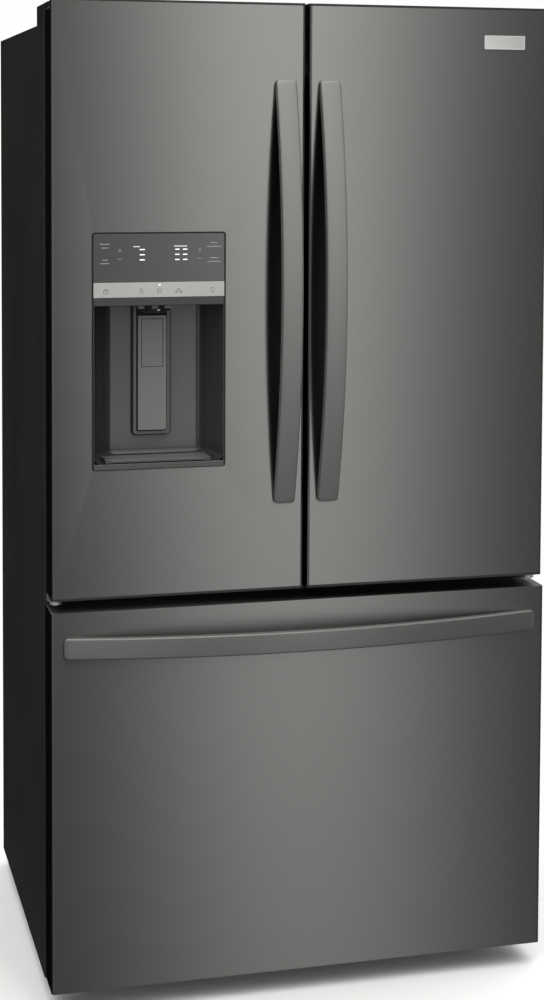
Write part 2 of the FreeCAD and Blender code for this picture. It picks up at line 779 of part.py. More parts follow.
def make_paddle():
    """A flat flap that hangs from a round hub behind its top edge and swings back when pressed."""
    flap = new_body("paddle")
    x = (-paddle_left, -paddle_right)
    y = (at(paddle_front), at(paddle_front) + paddle_thick)
    corner, pad_margin, pad_deep, pad_tall = 2, 6, 0.8, 84
    pad_box(flap, x, y, (paddle_low, paddle_high))
    bottom = paddle_low.value
    fillet(flap, corner, lambda a, b: along_y(a, b) and near(a.z, bottom))
    pad_high = paddle_high - pad_margin
    pocket_box(flap, (x[0] + pad_margin, x[1] - pad_margin), (y[0], y[0] + pad_deep),
               (pad_high - pad_tall, pad_high))
    hub_radius, hub_back = 4, 74
    hub = rod(x[0] + pad_margin, at(hub_back), paddle_high - hub_radius, as_size(hub_radius),
              paddle_left - paddle_right - pad_margin * 2, "x")
    keep(fuse([flap, hub]), "dispenser_paddle")


def make_drip_tray():
    """A shallow tub with a slatted top."""
    body = new_body("drip_tray")
    side_air, tray_front, tray_back, tray_tall, lift = 25, 4, 55, 6, 0.5
    x = (-panel_left + side_air, -panel_right - side_air)
    y = (at(tray_front), at(tray_back))
    z = (recess_low + lift, recess_low + tray_tall)
    corner, tub_wall, front_wall, tub_floor = 8, 3, 9, 2
    pad_box(body, x, y, z)
    fillet(body, corner, lambda a, b: upright(a, b) and near(a.y, y[0].value))
    pocket_box(body, (x[0] + tub_wall, x[1] - tub_wall), (y[0] + front_wall, y[1] - tub_wall),
               (z[0] + tub_floor, z[1] - tub_floor))
    count, pitch, slot = 4, 9, 5
    first = y[0] + front_wall + tub_wall
    margin = tub_wall * 3
    slots = pocket_box(body, (x[0] + margin, x[1] - margin), (first, first + slot), (z[1] - tub_wall, z[1]))
    pattern = body.newObject("PartDesign::LinearPattern", "slots")
    pattern.Originals = [slots]
    pattern.Direction = (slots.Profile[0], ["V_Axis"])
    pattern.Length = pitch * (count - 1)
    pattern.Occurrences = count
    body.Tip = pattern
    keep(body, "drip_tray")


def make_mullion():
    """The flipper bar between the doors. It folds inward beside the left door's edge."""
    low, high = fresh_floor + 14, fresh_ceiling - 14
    body = new_body("mullion")
    x = (-mullion_side - mullion_thick / 2, -mullion_side + mullion_thick / 2)
    y = (at(mullion_axis) - 4, at(mullion_axis) + mullion_wide)
    pad_box(body, x, y, (low, high))
    end = y[1].value
    fillet(body, 4, lambda a, b: upright(a, b) and near(a.y, end))
    for start, stop in ((low, low + 9), (high - 9, high)):
        hole = body.newObject("PartDesign::Pocket", "pivot")
        hole.Profile = circle(body, -mullion_side, at(mullion_axis), stop, mullion_pin + running)
        bind(hole, "Length", stop - start)
    keep(body, "mullion_flipper")


# ---------------------------------------------------------------- freezer drawer

def make_drawer_front():
    x = both(half)
    y = (face - drawer_step, at(door_depth) - liner_wall)
    z = (drawer_bottom, drawer_top)
    shell = new_body("freezer_skin")
    pad_box(shell, x, y, z)
    pocket_box(shell, (x[0] + skin, x[1] - skin), (y[0] + skin, y[1]), (z[0] + skin, z[1] - skin))
    round_front(shell, x[0], x[1], y[0])
    keep(shell, "freezer_drawer_skin")
    foam = new_body("freezer_foam")
    pad_box(foam, (x[0] + skin, x[1] - skin), (y[0] + skin, y[1]), (z[0] + skin, z[1] - skin))
    fillet(foam, edge_round - skin,
           corner_edge(((x[0] + skin).value, (x[1] - skin).value), (y[0] + skin).value))
    keep(foam, "freezer_drawer_foam")
    liner = new_body("freezer_drawer_liner")
    back = at(door_depth)
    pad_box(liner, (x[0] + 1, x[1] - 1), (back - liner_wall, back), (z[0] + 1, z[1] - 1))
    raised_x = both(inner - 12)
    raised_z = (frozen_floor + 14, frozen_ceiling - 14)
    pad_box(liner, raised_x, (back - liner_wall, back + 16), raised_z)
    crest = back.value + 16
    fillet(liner, 6, lambda a, b: near(a.y, crest) and near(b.y, crest))
    pocket_box(liner, (raised_x[0] + 3, raised_x[1] - 3), (back - liner_wall, back + 13),
               (raised_z[0] + 3, raised_z[1] - 3))
    keep(liner, "freezer_drawer_liner")
    make_gasket("freezer_drawer", both(half - pivot_inset - 2), (back, front - seal_air),
                (frozen_floor - 26, frozen_ceiling + 14))


def make_drawer_handle():
    points = bow(drawer_handle_long.value, -drawer_handle_long.value / 2, handle_foot.value,
                 handle_reach.value - drawer_step.value, handle_thick.value)
    plane_y = face.value - drawer_step.value
    flat = [FreeCAD.Vector(along, plane_y + out, 0) for along, out in points]
    body = new_body("freezer_handle")
    edges = [
        Part.Arc(flat[0], flat[1], flat[2]),
        Part.LineSegment(flat[2], flat[3]),
        Part.LineSegment(flat[3], flat[4]),
        Part.Arc(flat[4], flat[5], flat[6]),
        Part.LineSegment(flat[6], flat[7]),
        Part.LineSegment(flat[7], flat[0]),
    ]
    pad = body.newObject("PartDesign::Pad", "bar")
    pad.Profile = profile(body, "XY_Plane", edges, drawer_handle_height - handle_wide / 2)
    bind(pad, "Length", handle_wide)
    keep(body, "freezer_drawer_handle")


def open_bin(name, x, y, z, thick, rounding):
    """An open-topped tub with rounded upright corners."""
    body = new_body(name)
    pad_box(body, x, y, z)
    fillet(body, rounding, upright)
    pocket_box(body, (x[0] + thick, x[1] - thick), (y[0] + thick, y[1] - thick), (z[0] + thick, z[1]))
    return body


def slotted_basket(name, x, y, z, thick, pitch, count):
    """An open-topped tub whose front and back walls have a row of upright slots."""
    corner, slot_margin, slot_foot, slot_head = 10, 40, 25, 30
    body = open_bin(name, x, y, z, thick, corner)
    first = x[0] + slot_margin
    slots = pocket_box(body, (first, first + pitch / 2), y, (z[0] + slot_foot, z[1] - slot_head))
    pattern = body.newObject("PartDesign::LinearPattern", "slots")
    pattern.Originals = [slots]
    pattern.Direction = (slots.Profile[0], ["H_Axis"])
    pattern.Length = pitch * (count - 1)
    pattern.Occurrences = count
    body.Tip = pattern
    keep(body, name)


def make_freezer_baskets():
    pitch, count, air = 28, 25, 14
    low_half, low_front, low_back = 376, 92, 462
    slotted_basket("freezer_lower_basket", both(low_half), (at(low_front), at(low_back)),
                   (frozen_floor + air, slide_low - air), bin_wall, pitch, count)
    high_half, high_front, high_back, high_floor, high_top = 383, 100, 400, 72.4, 200
    slotted_basket("freezer_upper_basket", both(high_half), (at(high_front), at(high_back)),
                   (slide_low + high_floor, slide_low + high_top), bin_wall, pitch, count)


def channel(side, far, reach, z, y, thick):
    """A C-shaped rail open towards the middle of the compartment."""
    body = new_body("rail")
    pad_box(body, across(side, reach, far), y, z)
    pocket_box(body, across(side, reach, far - thick), y, (z[0] + thick, z[1] - thick))
    return body


def make_slides():
    """Three-member telescopic slides: cabinet channel, middle channel, drawer bar."""
    rail_front, sheet, air, nest = 100, 2, 0.3, 2.5
    outer_lip, middle_lip = 16, 17.7
    y = (at(rail_front), at(rail_front) + slide_long)
    low, high = slide_low, slide_low + slide_tall
    wall = inner - liner_wall - air
    outer = [channel(side, wall, inner - outer_lip, (low, high), y, sheet) for side in SIDES.values()]
    keep(group(outer), "freezer_slide_outer")
    middle = [channel(side, wall - nest, inner - middle_lip, (low + nest, high - nest), y, sheet)
              for side in SIDES.values()]
    keep(group(middle), "freezer_slide_middle")
    bar_lip, hanger_thick, hanger_back, hanger_low, hanger_high = 24, 3, 465, 14, 72
    shelf_lip, shelf_front_edge, shelf_back_edge, shelf_drop, shelf_thick = 60, 92, 462, 13.6, 3.6
    bars = []
    start = at(door_depth) + 16
    for side in SIDES.values():
        bar = box(across(side, inner - bar_lip, wall - 2 * nest), (start, y[1]),
                  (low + 2 * nest, high - 2 * nest))
        hanger = box(across(side, inner - bar_lip - hanger_thick, inner - bar_lip),
                     (start, at(hanger_back)), (low - hanger_low, low + hanger_high))
        shelf = box(across(side, inner - shelf_lip, inner - bar_lip - hanger_thick),
                    (at(shelf_front_edge), at(shelf_back_edge)),
                    (low - shelf_drop, low - shelf_drop + shelf_thick))
        bars.append(fuse([bar, hanger, shelf]))
    keep(group(bars), "freezer_slide_inner")


# ---------------------------------------------------------------- fresh food compartment

def make_shelves():
    """Three levels of glass, two panes to a level, each in its moulded frame."""
    inside = inner - liner_wall
    middle_air, wall_air, back_air = 5, 3, 6
    side_rim, end_rim, below, above = 7, 9, 9, 8
    levels = [
        (fresh_floor + 305, crisper_front - 6),
        (fresh_floor + 478, shelf_front),
        (fresh_floor + 660, shelf_front),
    ]
    panes = []
    frames = []
    for z, shelf_y in levels:
        y = (at(shelf_y), at(duct_front) - back_air)
        pane_y = (y[0] + end_rim, y[1] - end_rim)
        for side in SIDES.values():
            x = across(side, middle_air, inside - wall_air)
            pane_x = (x[0] + side_rim, x[1] - side_rim)
            panes.append(box(pane_x, pane_y, (z, z + glass_thick)))
            ring = new_body("shelf_frame")
            pad_box(ring, x, y, (z - below, z + above))
            pocket_box(ring, pane_x, pane_y, (z - below, z + above))
            frames.append(ring)
    keep(group(panes), "glass_shelves")
    keep(group(frames), "shelf_frames")


def make_crispers():
    """Two crispers side by side over one full-width drawer, each with a pull along its top edge."""
    inside = inner - liner_wall
    middle_air, wall_air, back_air, corner = 8, 6, 12, 14
    pull_out, pull_in, pull_tall, pull_inset = 14, 1, 20, 8
    label_inset, label_deep, label_low, label_high = 90, 1.4, 236, 262
    crisper_low, crisper_high, deli_low, deli_high, deli_pull_inset = 128, 288, 6, 118, 20
    y = (at(crisper_front), at(duct_front) - back_air)
    pull_y = (y[0] - pull_out, y[0] + pull_in)
    for name, side in SIDES.items():
        x = across(side, middle_air, inside - wall_air)
        top = fresh_floor + crisper_high
        body = open_bin(f"crisper_{name}", x, y, (fresh_floor + crisper_low, top), bin_wall, corner)
        pocket_box(body, (x[0] + label_inset, x[1] - label_inset), (y[0], y[0] + label_deep),
                   (fresh_floor + label_low, fresh_floor + label_high))
        pad_box(body, (x[0] + pull_inset, x[1] - pull_inset), pull_y, (top - pull_tall, top))
        keep(body, f"crisper_{name}")
    top = fresh_floor + deli_high
    deli = open_bin("deli_drawer", both(inside - wall_air), y, (fresh_floor + deli_low, top), bin_wall,
                    corner)
    pad_box(deli, both(inside - deli_pull_inset), pull_y, (top - pull_tall, top))
    keep(deli, "deli_drawer")


def make_duct_covers():
    """The air tower at the back of the fresh food compartment, and the freezer's evaporator cover."""
    inside = inner - liner_wall
    tower_half, tower_wall, tower_face, tower_foot, tower_head, corner = 170, 10, 3, 310, 20, 12
    vent_half, vent_foot, vent_tall = 60, 360, 6
    tower = new_body("air_tower")
    pad_box(tower, both(tower_half), (at(duct_front), at(rear_wall) - liner_wall),
            (fresh_floor + tower_foot, fresh_ceiling - tower_head))
    face_y = at(duct_front).value
    fillet(tower, corner, lambda a, b: upright(a, b) and near(a.y, face_y))
    pocket_box(tower, both(tower_half - tower_wall), (at(duct_front) + tower_face, at(rear_wall)),
               (fresh_floor + tower_foot + tower_wall, fresh_ceiling - tower_head - tower_wall))
    vents = pocket_box(tower, both(vent_half), (at(duct_front), at(duct_front) + tower_face),
                       (fresh_floor + vent_foot, fresh_floor + vent_foot + vent_tall))
    pattern = tower.newObject("PartDesign::LinearPattern", "vents")
    pattern.Originals = [vents]
    pattern.Direction = (vents.Profile[0], ["N_Axis"])
    pattern.Length = 480
    pattern.Occurrences = 13
    tower.Tip = pattern
    cover = new_body("evaporator_cover")
    z = (machine_top + machine_foam + liner_wall + 1, frozen_ceiling - liner_wall - 1)
    pad_box(cover, both(inside - 1), (at(592), at(595)), z)
    grille = pocket_box(cover, (as_size(-150), as_size(-144)), (at(591), at(596)), (z[1] - 70, z[1] - 25))
    row = cover.newObject("PartDesign::LinearPattern", "grille")
    row.Originals = [grille]
    row.Direction = (grille.Profile[0], ["H_Axis"])
    row.Length = 288
    row.Occurrences = 25
    cover.Tip = row
    keep(group([tower, cover]), "air_duct_covers")


def make_evaporator():
    """A finned block with headers, behind the freezer's cover."""
    body = new_body("evaporator")
    coil_half, coil_front, coil_back, gap_back = 250, 602, 650, 645
    first_gap, gap_wide, gap_pitch, gaps = -246, 5, 10, 49
    foot_air, head_air = 30, 100
    z = (machine_top + machine_foam + foot_air, frozen_ceiling - head_air)
    pad_box(body, both(coil_half), (at(coil_front), at(coil_back)), z)
    fin = pocket_box(body, (as_size(first_gap), as_size(first_gap + gap_wide)),
                     (at(coil_front), at(gap_back)), z)
    row = body.newObject("PartDesign::LinearPattern", "fins")
    row.Originals = [fin]
    row.Direction = (fin.Profile[0], ["H_Axis"])
    row.Length = gap_pitch * (gaps - 1)
    row.Occurrences = gaps
    body.Tip = row
    keep(body, "evaporator")


def make_lights():
    """A long lens in the fresh food ceiling and a short one in the freezer's."""
    fresh_half, fresh_y, fresh_thick = 140, (250, 300), 8
    frozen_half, frozen_y, frozen_thick = 60, (130, 160), 6
    ceiling = fresh_ceiling - liner_wall
    fresh = box(both(fresh_half), (at(fresh_y[0]), at(fresh_y[1])), (ceiling - fresh_thick, ceiling))
    low_ceiling = frozen_ceiling - liner_wall
    frozen = box(both(frozen_half), (at(frozen_y[0]), at(frozen_y[1])),
                 (low_ceiling - frozen_thick, low_ceiling))
    keep(group([fresh, frozen]), "led_lights")


def make_ice_maker():
    """The insulated ice compartment at the top left, with its own front lid."""
    inside = inner - liner_wall
    body = new_body("ice_maker")
    near_wall, far_wall, tall, roof_air, back_air = 12.5, 202, 186, 0.5, 4
    lid_front, lid_round = 215, 10
    grip_inset, grip_deep, grip_low, grip_tall = 60, 7, 60, 18
    x = (-inside + near_wall, -inside + far_wall)
    z = (fresh_ceiling - tall, fresh_ceiling - liner_wall - roof_air)
    pad_box(body, x, (at(lid_front), at(duct_front) - back_air), z)
    front_y = at(lid_front).value
    fillet(body, lid_round, lambda a, b: near(a.y, front_y) and near(b.y, front_y))
    pocket_box(body, (x[0] + grip_inset, x[1] - grip_inset), (at(lid_front), at(lid_front + grip_deep)),
               (z[0] + grip_low, z[0] + grip_low + grip_tall))
    keep(body, "ice_maker")


# ---------------------------------------------------------------- machine compartment and running gear

MACHINE_Y = 620


def make_compressor():
    """A drum with a domed top on a foot plate and four rubber mounts, and its terminal box."""
    x, y = as_size(-230), at(MACHINE_Y)
    base = cabinet_bottom + 12
    radius, tall, crown = 82, 134, 98
    plate_half_x, plate_half_y, plate_low, plate_high = 100, 70, 6, 4
    box_half, box_front, box_back, box_low, box_high = 28, 60, 88, 40, 84
    mount_x, mount_y, mount_radius, mount_tall, mount_gap = 86, 56, 11, 4, 2
    ball = doc.addObject("Part::Sphere", "ball")
    bind(ball, "Radius", crown)
    place(ball, x, y, base + tall - crown)
    shell = doc.addObject("Part::Common", "shell")
    shell.Base = rod(x, y, base, radius, tall)
    shell.Tool = ball
    plate = box((x - plate_half_x, x + plate_half_x), (y - plate_half_y, y + plate_half_y),
                (base - plate_low, base + plate_high))
    terminals = box((x - box_half, x + box_half), (y + box_front, y + box_back),
                    (base + box_low, base + box_high))
    mounts = [rod(x + dx, y + dy, cabinet_bottom + mount_gap, mount_radius, mount_tall)
              for dx in (-mount_x, mount_x) for dy in (-mount_y, mount_y)]
    keep(group([fuse([shell, plate, terminals])] + mounts), "compressor")


def make_condenser():
    body = new_body("condenser")
    """A finned block beside the fan."""
    foot, tall, gap_front, gap_wide, gap_pitch, gaps = 2, 180, 555, 4, 7.294118, 18
    near_side, far_side, tube_wall = 150, 250, 4
    z = (cabinet_bottom + foot, cabinet_bottom + foot + tall)
    y = (at(552), at(690))
    pad_box(body, (as_size(near_side), as_size(far_side)), y, z)
    fin = pocket_box(body, (as_size(near_side), as_size(far_side - tube_wall)),
                     (at(gap_front), at(gap_front + gap_wide)), z)
    row = body.newObject("PartDesign::LinearPattern", "fins")
    row.Originals = [fin]
    row.Direction = (fin.Profile[0], ["V_Axis"])
    row.Length = gap_pitch * (gaps - 1)
    row.Occurrences = gaps
    body.Tip = row
    keep(body, "condenser")


FAN_X = 60
FAN_HEIGHT = 92


def make_fan():
    """A five-bladed fan that blows along X."""
    y, z = at(MACHINE_Y), cabinet_bottom + FAN_HEIGHT
    hub_half, hub_radius, hole_deep = 11, 20, 18
    root, chord_half, blade_half, blades = 17, 16, 3, 5
    body = new_body("condenser_fan")
    hub = body.newObject("PartDesign::Pad", "hub")
    hub.Profile = circle(body, 0, 0, -hub_half, hub_radius)
    bind(hub, "Length", 2 * hub_half)
    blade = pad_box(body, (root, fan_radius), (-chord_half, chord_half), (-blade_half, blade_half))
    spin = body.newObject("PartDesign::PolarPattern", "blades")
    spin.Originals = [blade]
    spin.Axis = (plane(body, "Z_Axis"), [""])
    spin.Angle = 360
    spin.Occurrences = blades
    body.Tip = spin
    shaft_hole = body.newObject("PartDesign::Pocket", "shaft_hole")
    shaft_hole.Profile = circle(body, 0, 0, hub_half, shaft_radius + running)
    bind(shaft_hole, "Length", hole_deep)
    body.Placement = FreeCAD.Placement(FreeCAD.Vector(), FreeCAD.Rotation(FreeCAD.Vector(0, 1, 0), 90))
    place(body, FAN_X, y, z)
    keep(body, "condenser_fan")


def make_fan_motor():
    """A ring shroud on a foot, three arms, and the motor with its shaft."""
    y, z = at(MACHINE_Y), cabinet_bottom + FAN_HEIGHT
    ring_half, ring_air, ring_rim, foot_half = 14, 4, 10, 40
    motor_start, motor_radius, motor_long = 26, 24, 42
    shaft_start, shaft_long = -4, 40
    arm_end, arm_half, arm_root, arm_reach, tie_start, tie_thick = 32, 6, 20, 6, 12, 3
    start = FAN_X - ring_half
    ring = cut(rod(start, y, z, fan_radius + ring_rim, 2 * ring_half, "x"),
               [rod(start, y, z, fan_radius + ring_air, 2 * ring_half, "x")])
    foot = box((start, FAN_X + ring_half), (y - foot_half, y + foot_half),
               (cabinet_bottom + 2, z - fan_radius - arm_reach))
    motor = rod(FAN_X + motor_start, y, z, motor_radius, motor_long, "x")
    shaft = rod(FAN_X + shaft_start, y, z, shaft_radius, shaft_long, "x")
    arms = []
    arm_y = (y - arm_half, y + arm_half)
    outer = fan_radius + arm_reach
    for low, high in ((z - outer, z - arm_root), (z + arm_root, z + outer)):
        tie = (low, low + tie_thick) if low.value < z.value else (high - tie_thick, high)
        arms.append(box((FAN_X + motor_start, FAN_X + arm_end), arm_y, (low, high)))
        arms.append(box((FAN_X + tie_start, FAN_X + arm_end), arm_y, tie))
    keep(fuse([ring, foot, motor, shaft] + arms), "fan_motor")


def make_machine_cover():
    """The rear lower cover: a slotted plate with stand-off ribs, and the bushing for the supply cord."""
    body = new_body("machine_cover_plate")
    y = (at(back_plane), at(back_plane) + 2)
    z = (cabinet_bottom + 2, machine_top + 40)
    pad_box(body, both(half - 14), y, z)
    for x in (-half + 14, as_size(-10), half - 34):
        pad_box(body, (x, x + 20), (y[0], at(cover_reach)), z)
    pocket_box(body, (VALVE_X - 32, VALVE_X + 32), (y[0], y[1]), (VALVE_Z - 32, VALVE_Z + 32))
    for start in (as_size(30), as_size(230)):
        slot = pocket_box(body, (start, start + 160), y, (z[0] + 30, z[0] + 36))
        rows = body.newObject("PartDesign::LinearPattern", "louvres")
        rows.Originals = [slot]
        rows.Direction = (slot.Profile[0], ["N_Axis"])
        rows.Length = 208
        rows.Occurrences = 14
        body.Tip = rows
    bushing_x, bushing_z, bushing_long = -150, cabinet_bottom + 60, 7
    bushing_radius, cord_radius = 15, 4.5
    bushing = cut(rod(bushing_x, y[1], bushing_z, bushing_radius, bushing_long, "y"),
                  [rod(bushing_x, y[1], bushing_z, cord_radius, bushing_long, "y")])
    keep(group([body, bushing]), "machine_cover")


VALVE_X = as_size(-360)
VALVE_Z = cabinet_bottom + 90


def make_water_valve():
    """The solenoid valve for the water supply, with its threaded inlet facing back."""
    base = box((VALVE_X - 26, VALVE_X + 26), (at(640), at(700)), (cabinet_bottom + 2, VALVE_Z - 22))
    body = box((VALVE_X - 20, VALVE_X + 20), (at(650), at(705)), (VALVE_Z - 22, VALVE_Z + 22))
    coil = rod(VALVE_X, at(672), VALVE_Z + 22, 17, 36)
    inlet = rod(VALVE_X, at(705), VALVE_Z, inlet_radius, cover_reach - 705, "y")
    collar = rod(VALVE_X, at(705), VALVE_Z, inlet_radius + 4, 5, "y")
    keep(fuse([base, body, coil, inlet, collar]), "water_valve")


FOOT_X = half - 74
FOOT_Y = at(130)
ROLLER_Y = at(650)


def make_feet():
    feet = []
    for side in SIDES.values():
        pad = rod(side * FOOT_X, FOOT_Y, 0, foot_radius, 8)
        stem = rod(side * FOOT_X, FOOT_Y, 8, 6, cabinet_bottom - 8)
        nut = rod(side * FOOT_X, FOOT_Y, cabinet_bottom - 8, 13, 8)
        feet.append(fuse([pad, stem, nut]))
    keep(group(feet), "levelling_feet")


def make_rollers():
    """Rear rollers and the forked brackets that carry their axles."""
    brackets = []
    for name, side in SIDES.items():
        x = side * FOOT_X
        tyre = rod(x - roller_wide / 2, ROLLER_Y, roller_radius, roller_radius, roller_wide, "x")
        hole = rod(x - roller_wide / 2, ROLLER_Y, roller_radius, axle_radius + running, roller_wide, "x")
        keep(cut(tyre, [hole]), f"roller_{name}")
        span = roller_wide / 2 + 1
        cheeks = [box((x + low, x + high), (ROLLER_Y - 14, ROLLER_Y + 14),
                      (roller_radius - 9, cabinet_bottom))
                  for low, high in ((-span - 3, -span), (span, span + 3))]
        axle = rod(x - span - 3, ROLLER_Y, roller_radius, axle_radius, span * 2 + 6, "x")
        brackets.append(fuse(cheeks + [axle]))
    keep(group(brackets), "roller_brackets")


def make_badge():
    keep(box((329, 407), (face - 1.5, face), (door_top - 75, door_top - 50)), "badge_plate")


def build():
    make_wrapper()
    make_back_panel()
    make_base_frame()
    make_foam()
    make_fresh_liner()
    make_frozen_liner()
    make_divider_trim()
    make_hinges()
    make_hinge_covers()
    low_row = (fresh_floor + 40, 110, low_bin_reach)
    high_row = (fresh_ceiling - 242, 110, bin_reach)
    middle_row = (fresh_floor + 368, 120, bin_reach)
    make_door("door_left", -1, [low_row, high_row])
    make_door("door_right", 1, [low_row, middle_row, high_row])
    make_dispenser_housing()
    make_dispenser_front()
    make_nozzle()
    make_paddle()
    make_drip_tray()
    make_mullion()
    make_badge()
    make_drawer_front()
    make_drawer_handle()
    make_freezer_baskets()
    make_slides()
    make_shelves()
    make_crispers()
    make_duct_covers()
    make_evaporator()
    make_lights()
    make_ice_maker()
    make_compressor()
    make_condenser()
    make_fan()
    make_fan_motor()
    make_machine_cover()
    make_water_valve()
    make_feet()
    make_rollers()


def check_all():
    for obj in doc.Objects:
        if "Invalid" in obj.State or "Error" in obj.State:
            raise RuntimeError(f"{obj.Name} did not compute: {obj.State}")
    for obj in NODES:
        if obj.Shape.isNull() or not obj.Shape.isValid():
            raise RuntimeError(f"{obj.Label} has no valid shape")
    names = [obj.Label for obj in NODES]
    if len(set(names)) != len(names):
        raise RuntimeError("two sub-parts share a name")


build()
doc.recompute()
check_all()
for obj in NODES:
    obj.Shape.exportStep(f"parts/{obj.Label}.step")
print(len(NODES), "sub-parts written")
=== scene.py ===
import json
import math
import random

import bmesh
import bpy
from mathutils import Matrix, Vector

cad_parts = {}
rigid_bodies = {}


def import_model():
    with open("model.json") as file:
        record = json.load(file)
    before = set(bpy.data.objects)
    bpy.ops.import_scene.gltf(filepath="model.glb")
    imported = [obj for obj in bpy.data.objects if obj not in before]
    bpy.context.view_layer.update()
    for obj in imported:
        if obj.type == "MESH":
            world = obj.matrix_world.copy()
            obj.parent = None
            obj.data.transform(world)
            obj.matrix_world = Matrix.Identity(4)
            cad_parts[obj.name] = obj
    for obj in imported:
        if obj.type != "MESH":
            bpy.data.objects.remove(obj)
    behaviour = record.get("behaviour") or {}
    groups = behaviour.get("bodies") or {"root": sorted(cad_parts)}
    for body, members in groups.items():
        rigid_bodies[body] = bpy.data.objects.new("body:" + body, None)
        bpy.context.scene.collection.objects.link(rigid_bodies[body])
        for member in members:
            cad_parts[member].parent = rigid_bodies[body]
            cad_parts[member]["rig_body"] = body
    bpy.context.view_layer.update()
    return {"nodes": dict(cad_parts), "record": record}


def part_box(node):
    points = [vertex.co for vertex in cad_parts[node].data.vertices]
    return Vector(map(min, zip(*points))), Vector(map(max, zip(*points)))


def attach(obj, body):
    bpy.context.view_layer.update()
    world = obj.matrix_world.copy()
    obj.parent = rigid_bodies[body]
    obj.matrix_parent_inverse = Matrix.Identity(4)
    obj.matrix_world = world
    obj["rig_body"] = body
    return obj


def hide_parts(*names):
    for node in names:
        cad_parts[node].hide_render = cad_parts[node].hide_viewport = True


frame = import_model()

# Lengths below are millimetres, measured like the design: x across, y back from the face
# of the doors, z up from the floor. Blender's own objects are in metres.
MM = 0.001
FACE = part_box("door_left_skin")[0][1]


def at(x, y, z):
    return Vector((x * MM, y * MM + FACE, z * MM))


def node_box(name):
    """A node's low and high corners, in millimetres from the face of the doors."""
    low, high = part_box(name)
    low = [low[0] / MM, (low[1] - FACE) / MM, low[2] / MM]
    high = [high[0] / MM, (high[1] - FACE) / MM, high[2] / MM]
    return low, high


# ---------------------------------------------------------------- materials

class Nodes:
    """A short way to write a material's node tree."""

    def __init__(self, name):
        self.material = bpy.data.materials.new(name)
        self.material.use_nodes = True
        self.tree = self.material.node_tree
        self.shader = self.tree.nodes["Principled BSDF"]
        self.place = self.tree.nodes.new("ShaderNodeTexCoord").outputs["Object"]

    def add(self, kind, inputs=None, **settings):
        node = self.tree.nodes.new(kind)
        for key, value in settings.items():
            setattr(node, key, value)
        for key, value in (inputs or {}).items():
            if hasattr(value, "is_output") or isinstance(value, bpy.types.NodeSocket):
                self.tree.links.new(value, node.inputs[key])
            else:
                node.inputs[key].default_value = value
        return node

    def stretched(self, scale):
        return self.add("ShaderNodeMapping", {"Vector": self.place, "Scale": scale}).outputs[0]

    def noise(self, scale, detail=3.0, stretch=None, rough=0.5):
        vector = self.stretched(stretch) if stretch else self.place
        node = self.add("ShaderNodeTexNoise", {"Vector": vector, "Scale": scale, "Detail": detail,
                                               "Roughness": rough})
        return node.outputs["Fac"]

    def between(self, factor, low, high):
        node = self.add("ShaderNodeMapRange", {"Value": factor, "From Min": 0.25, "From Max": 0.75,
                                               "To Min": low, "To Max": high})
        return node.outputs[0]

    def mix(self, factor, dark, light):
        node = self.add("ShaderNodeMix", {"Factor": factor}, data_type="RGBA")
        for socket, value in zip((node.inputs[6], node.inputs[7]), (dark, light)):
            if isinstance(value, bpy.types.NodeSocket):
                self.tree.links.new(value, socket)
            else:
                socket.default_value = (*value, 1)
        return node.outputs[2]

    def bump(self, height, strength, distance, before=None):
        inputs = {"Height": height, "Strength": strength, "Distance": distance}
        if before:
            inputs["Normal"] = before
        return self.add("ShaderNodeBump", inputs).outputs[0]

    def set(self, **sockets):
        for key, value in sockets.items():
            socket = self.shader.inputs[key.replace("_", " ")]
            if isinstance(value, bpy.types.NodeSocket):
                self.tree.links.new(value, socket)
            elif socket.type == "RGBA":
                socket.default_value = (*value, 1)
            else:
                socket.default_value = value
        return self.material


def shade(colour, factor):
    return tuple(c * factor for c in colour)


def brushed(name, colour, rough, along="x", anisotropic=0.75, contrast=0.015, metallic=1.0):
    """Brushed metal: fine grain lines along one axis that smear a reflection across them."""
    n = Nodes(name)
    fine = {"x": (1.5, 1.5, 900), "y": (1.5, 1.5, 900), "z": (900, 900, 1.5)}[along]
    broad = {"x": (0.8, 0.8, 60), "y": (0.8, 0.8, 60), "z": (60, 60, 0.8)}[along]
    grain = n.noise(1.0, 4.0, fine, 0.65)
    bands = n.noise(1.0, 2.0, broad)
    cloud = n.noise(3.0, 2.0)
    tint = n.mix(n.between(grain, 0.0, 1.0), shade(colour, 1 - contrast), shade(colour, 1 + contrast))
    tint = n.mix(n.between(bands, 0.0, 0.12), tint, shade(colour, 1.02))
    both = n.add("ShaderNodeMath", {0: grain, 1: cloud}, operation="ADD").outputs[0]
    half = n.add("ShaderNodeMath", {0: both, 1: 0.5}, operation="MULTIPLY").outputs[0]
    tangent = n.add("ShaderNodeTangent", direction_type="UV_MAP", uv_map="grain").outputs[0]
    return n.set(Base_Color=tint, Metallic=metallic, Roughness=n.between(half, rough * 0.98, rough * 1.02),
                 Anisotropic=anisotropic, Anisotropic_Rotation=0.25 if along != "z" else 0.0,
                 Tangent=tangent, Normal=n.bump(grain, 0.01, 0.0002))


def painted(name, colour, rough, grain_scale=900, grain=0.12, metallic=0.0):
    """Paint over steel, with the fine orange peel of a sprayed or textured coat."""
    n = Nodes(name)
    peel = n.noise(grain_scale, 2.0)
    cloud = n.noise(4.0, 3.0)
    tint = n.mix(n.between(cloud, 0.0, 1.0), shade(colour, 0.93), shade(colour, 1.07))
    return n.set(Base_Color=tint, Metallic=metallic, Roughness=n.between(cloud, rough * 0.9, rough * 1.1),
                 Normal=n.bump(peel, grain, 0.0006))


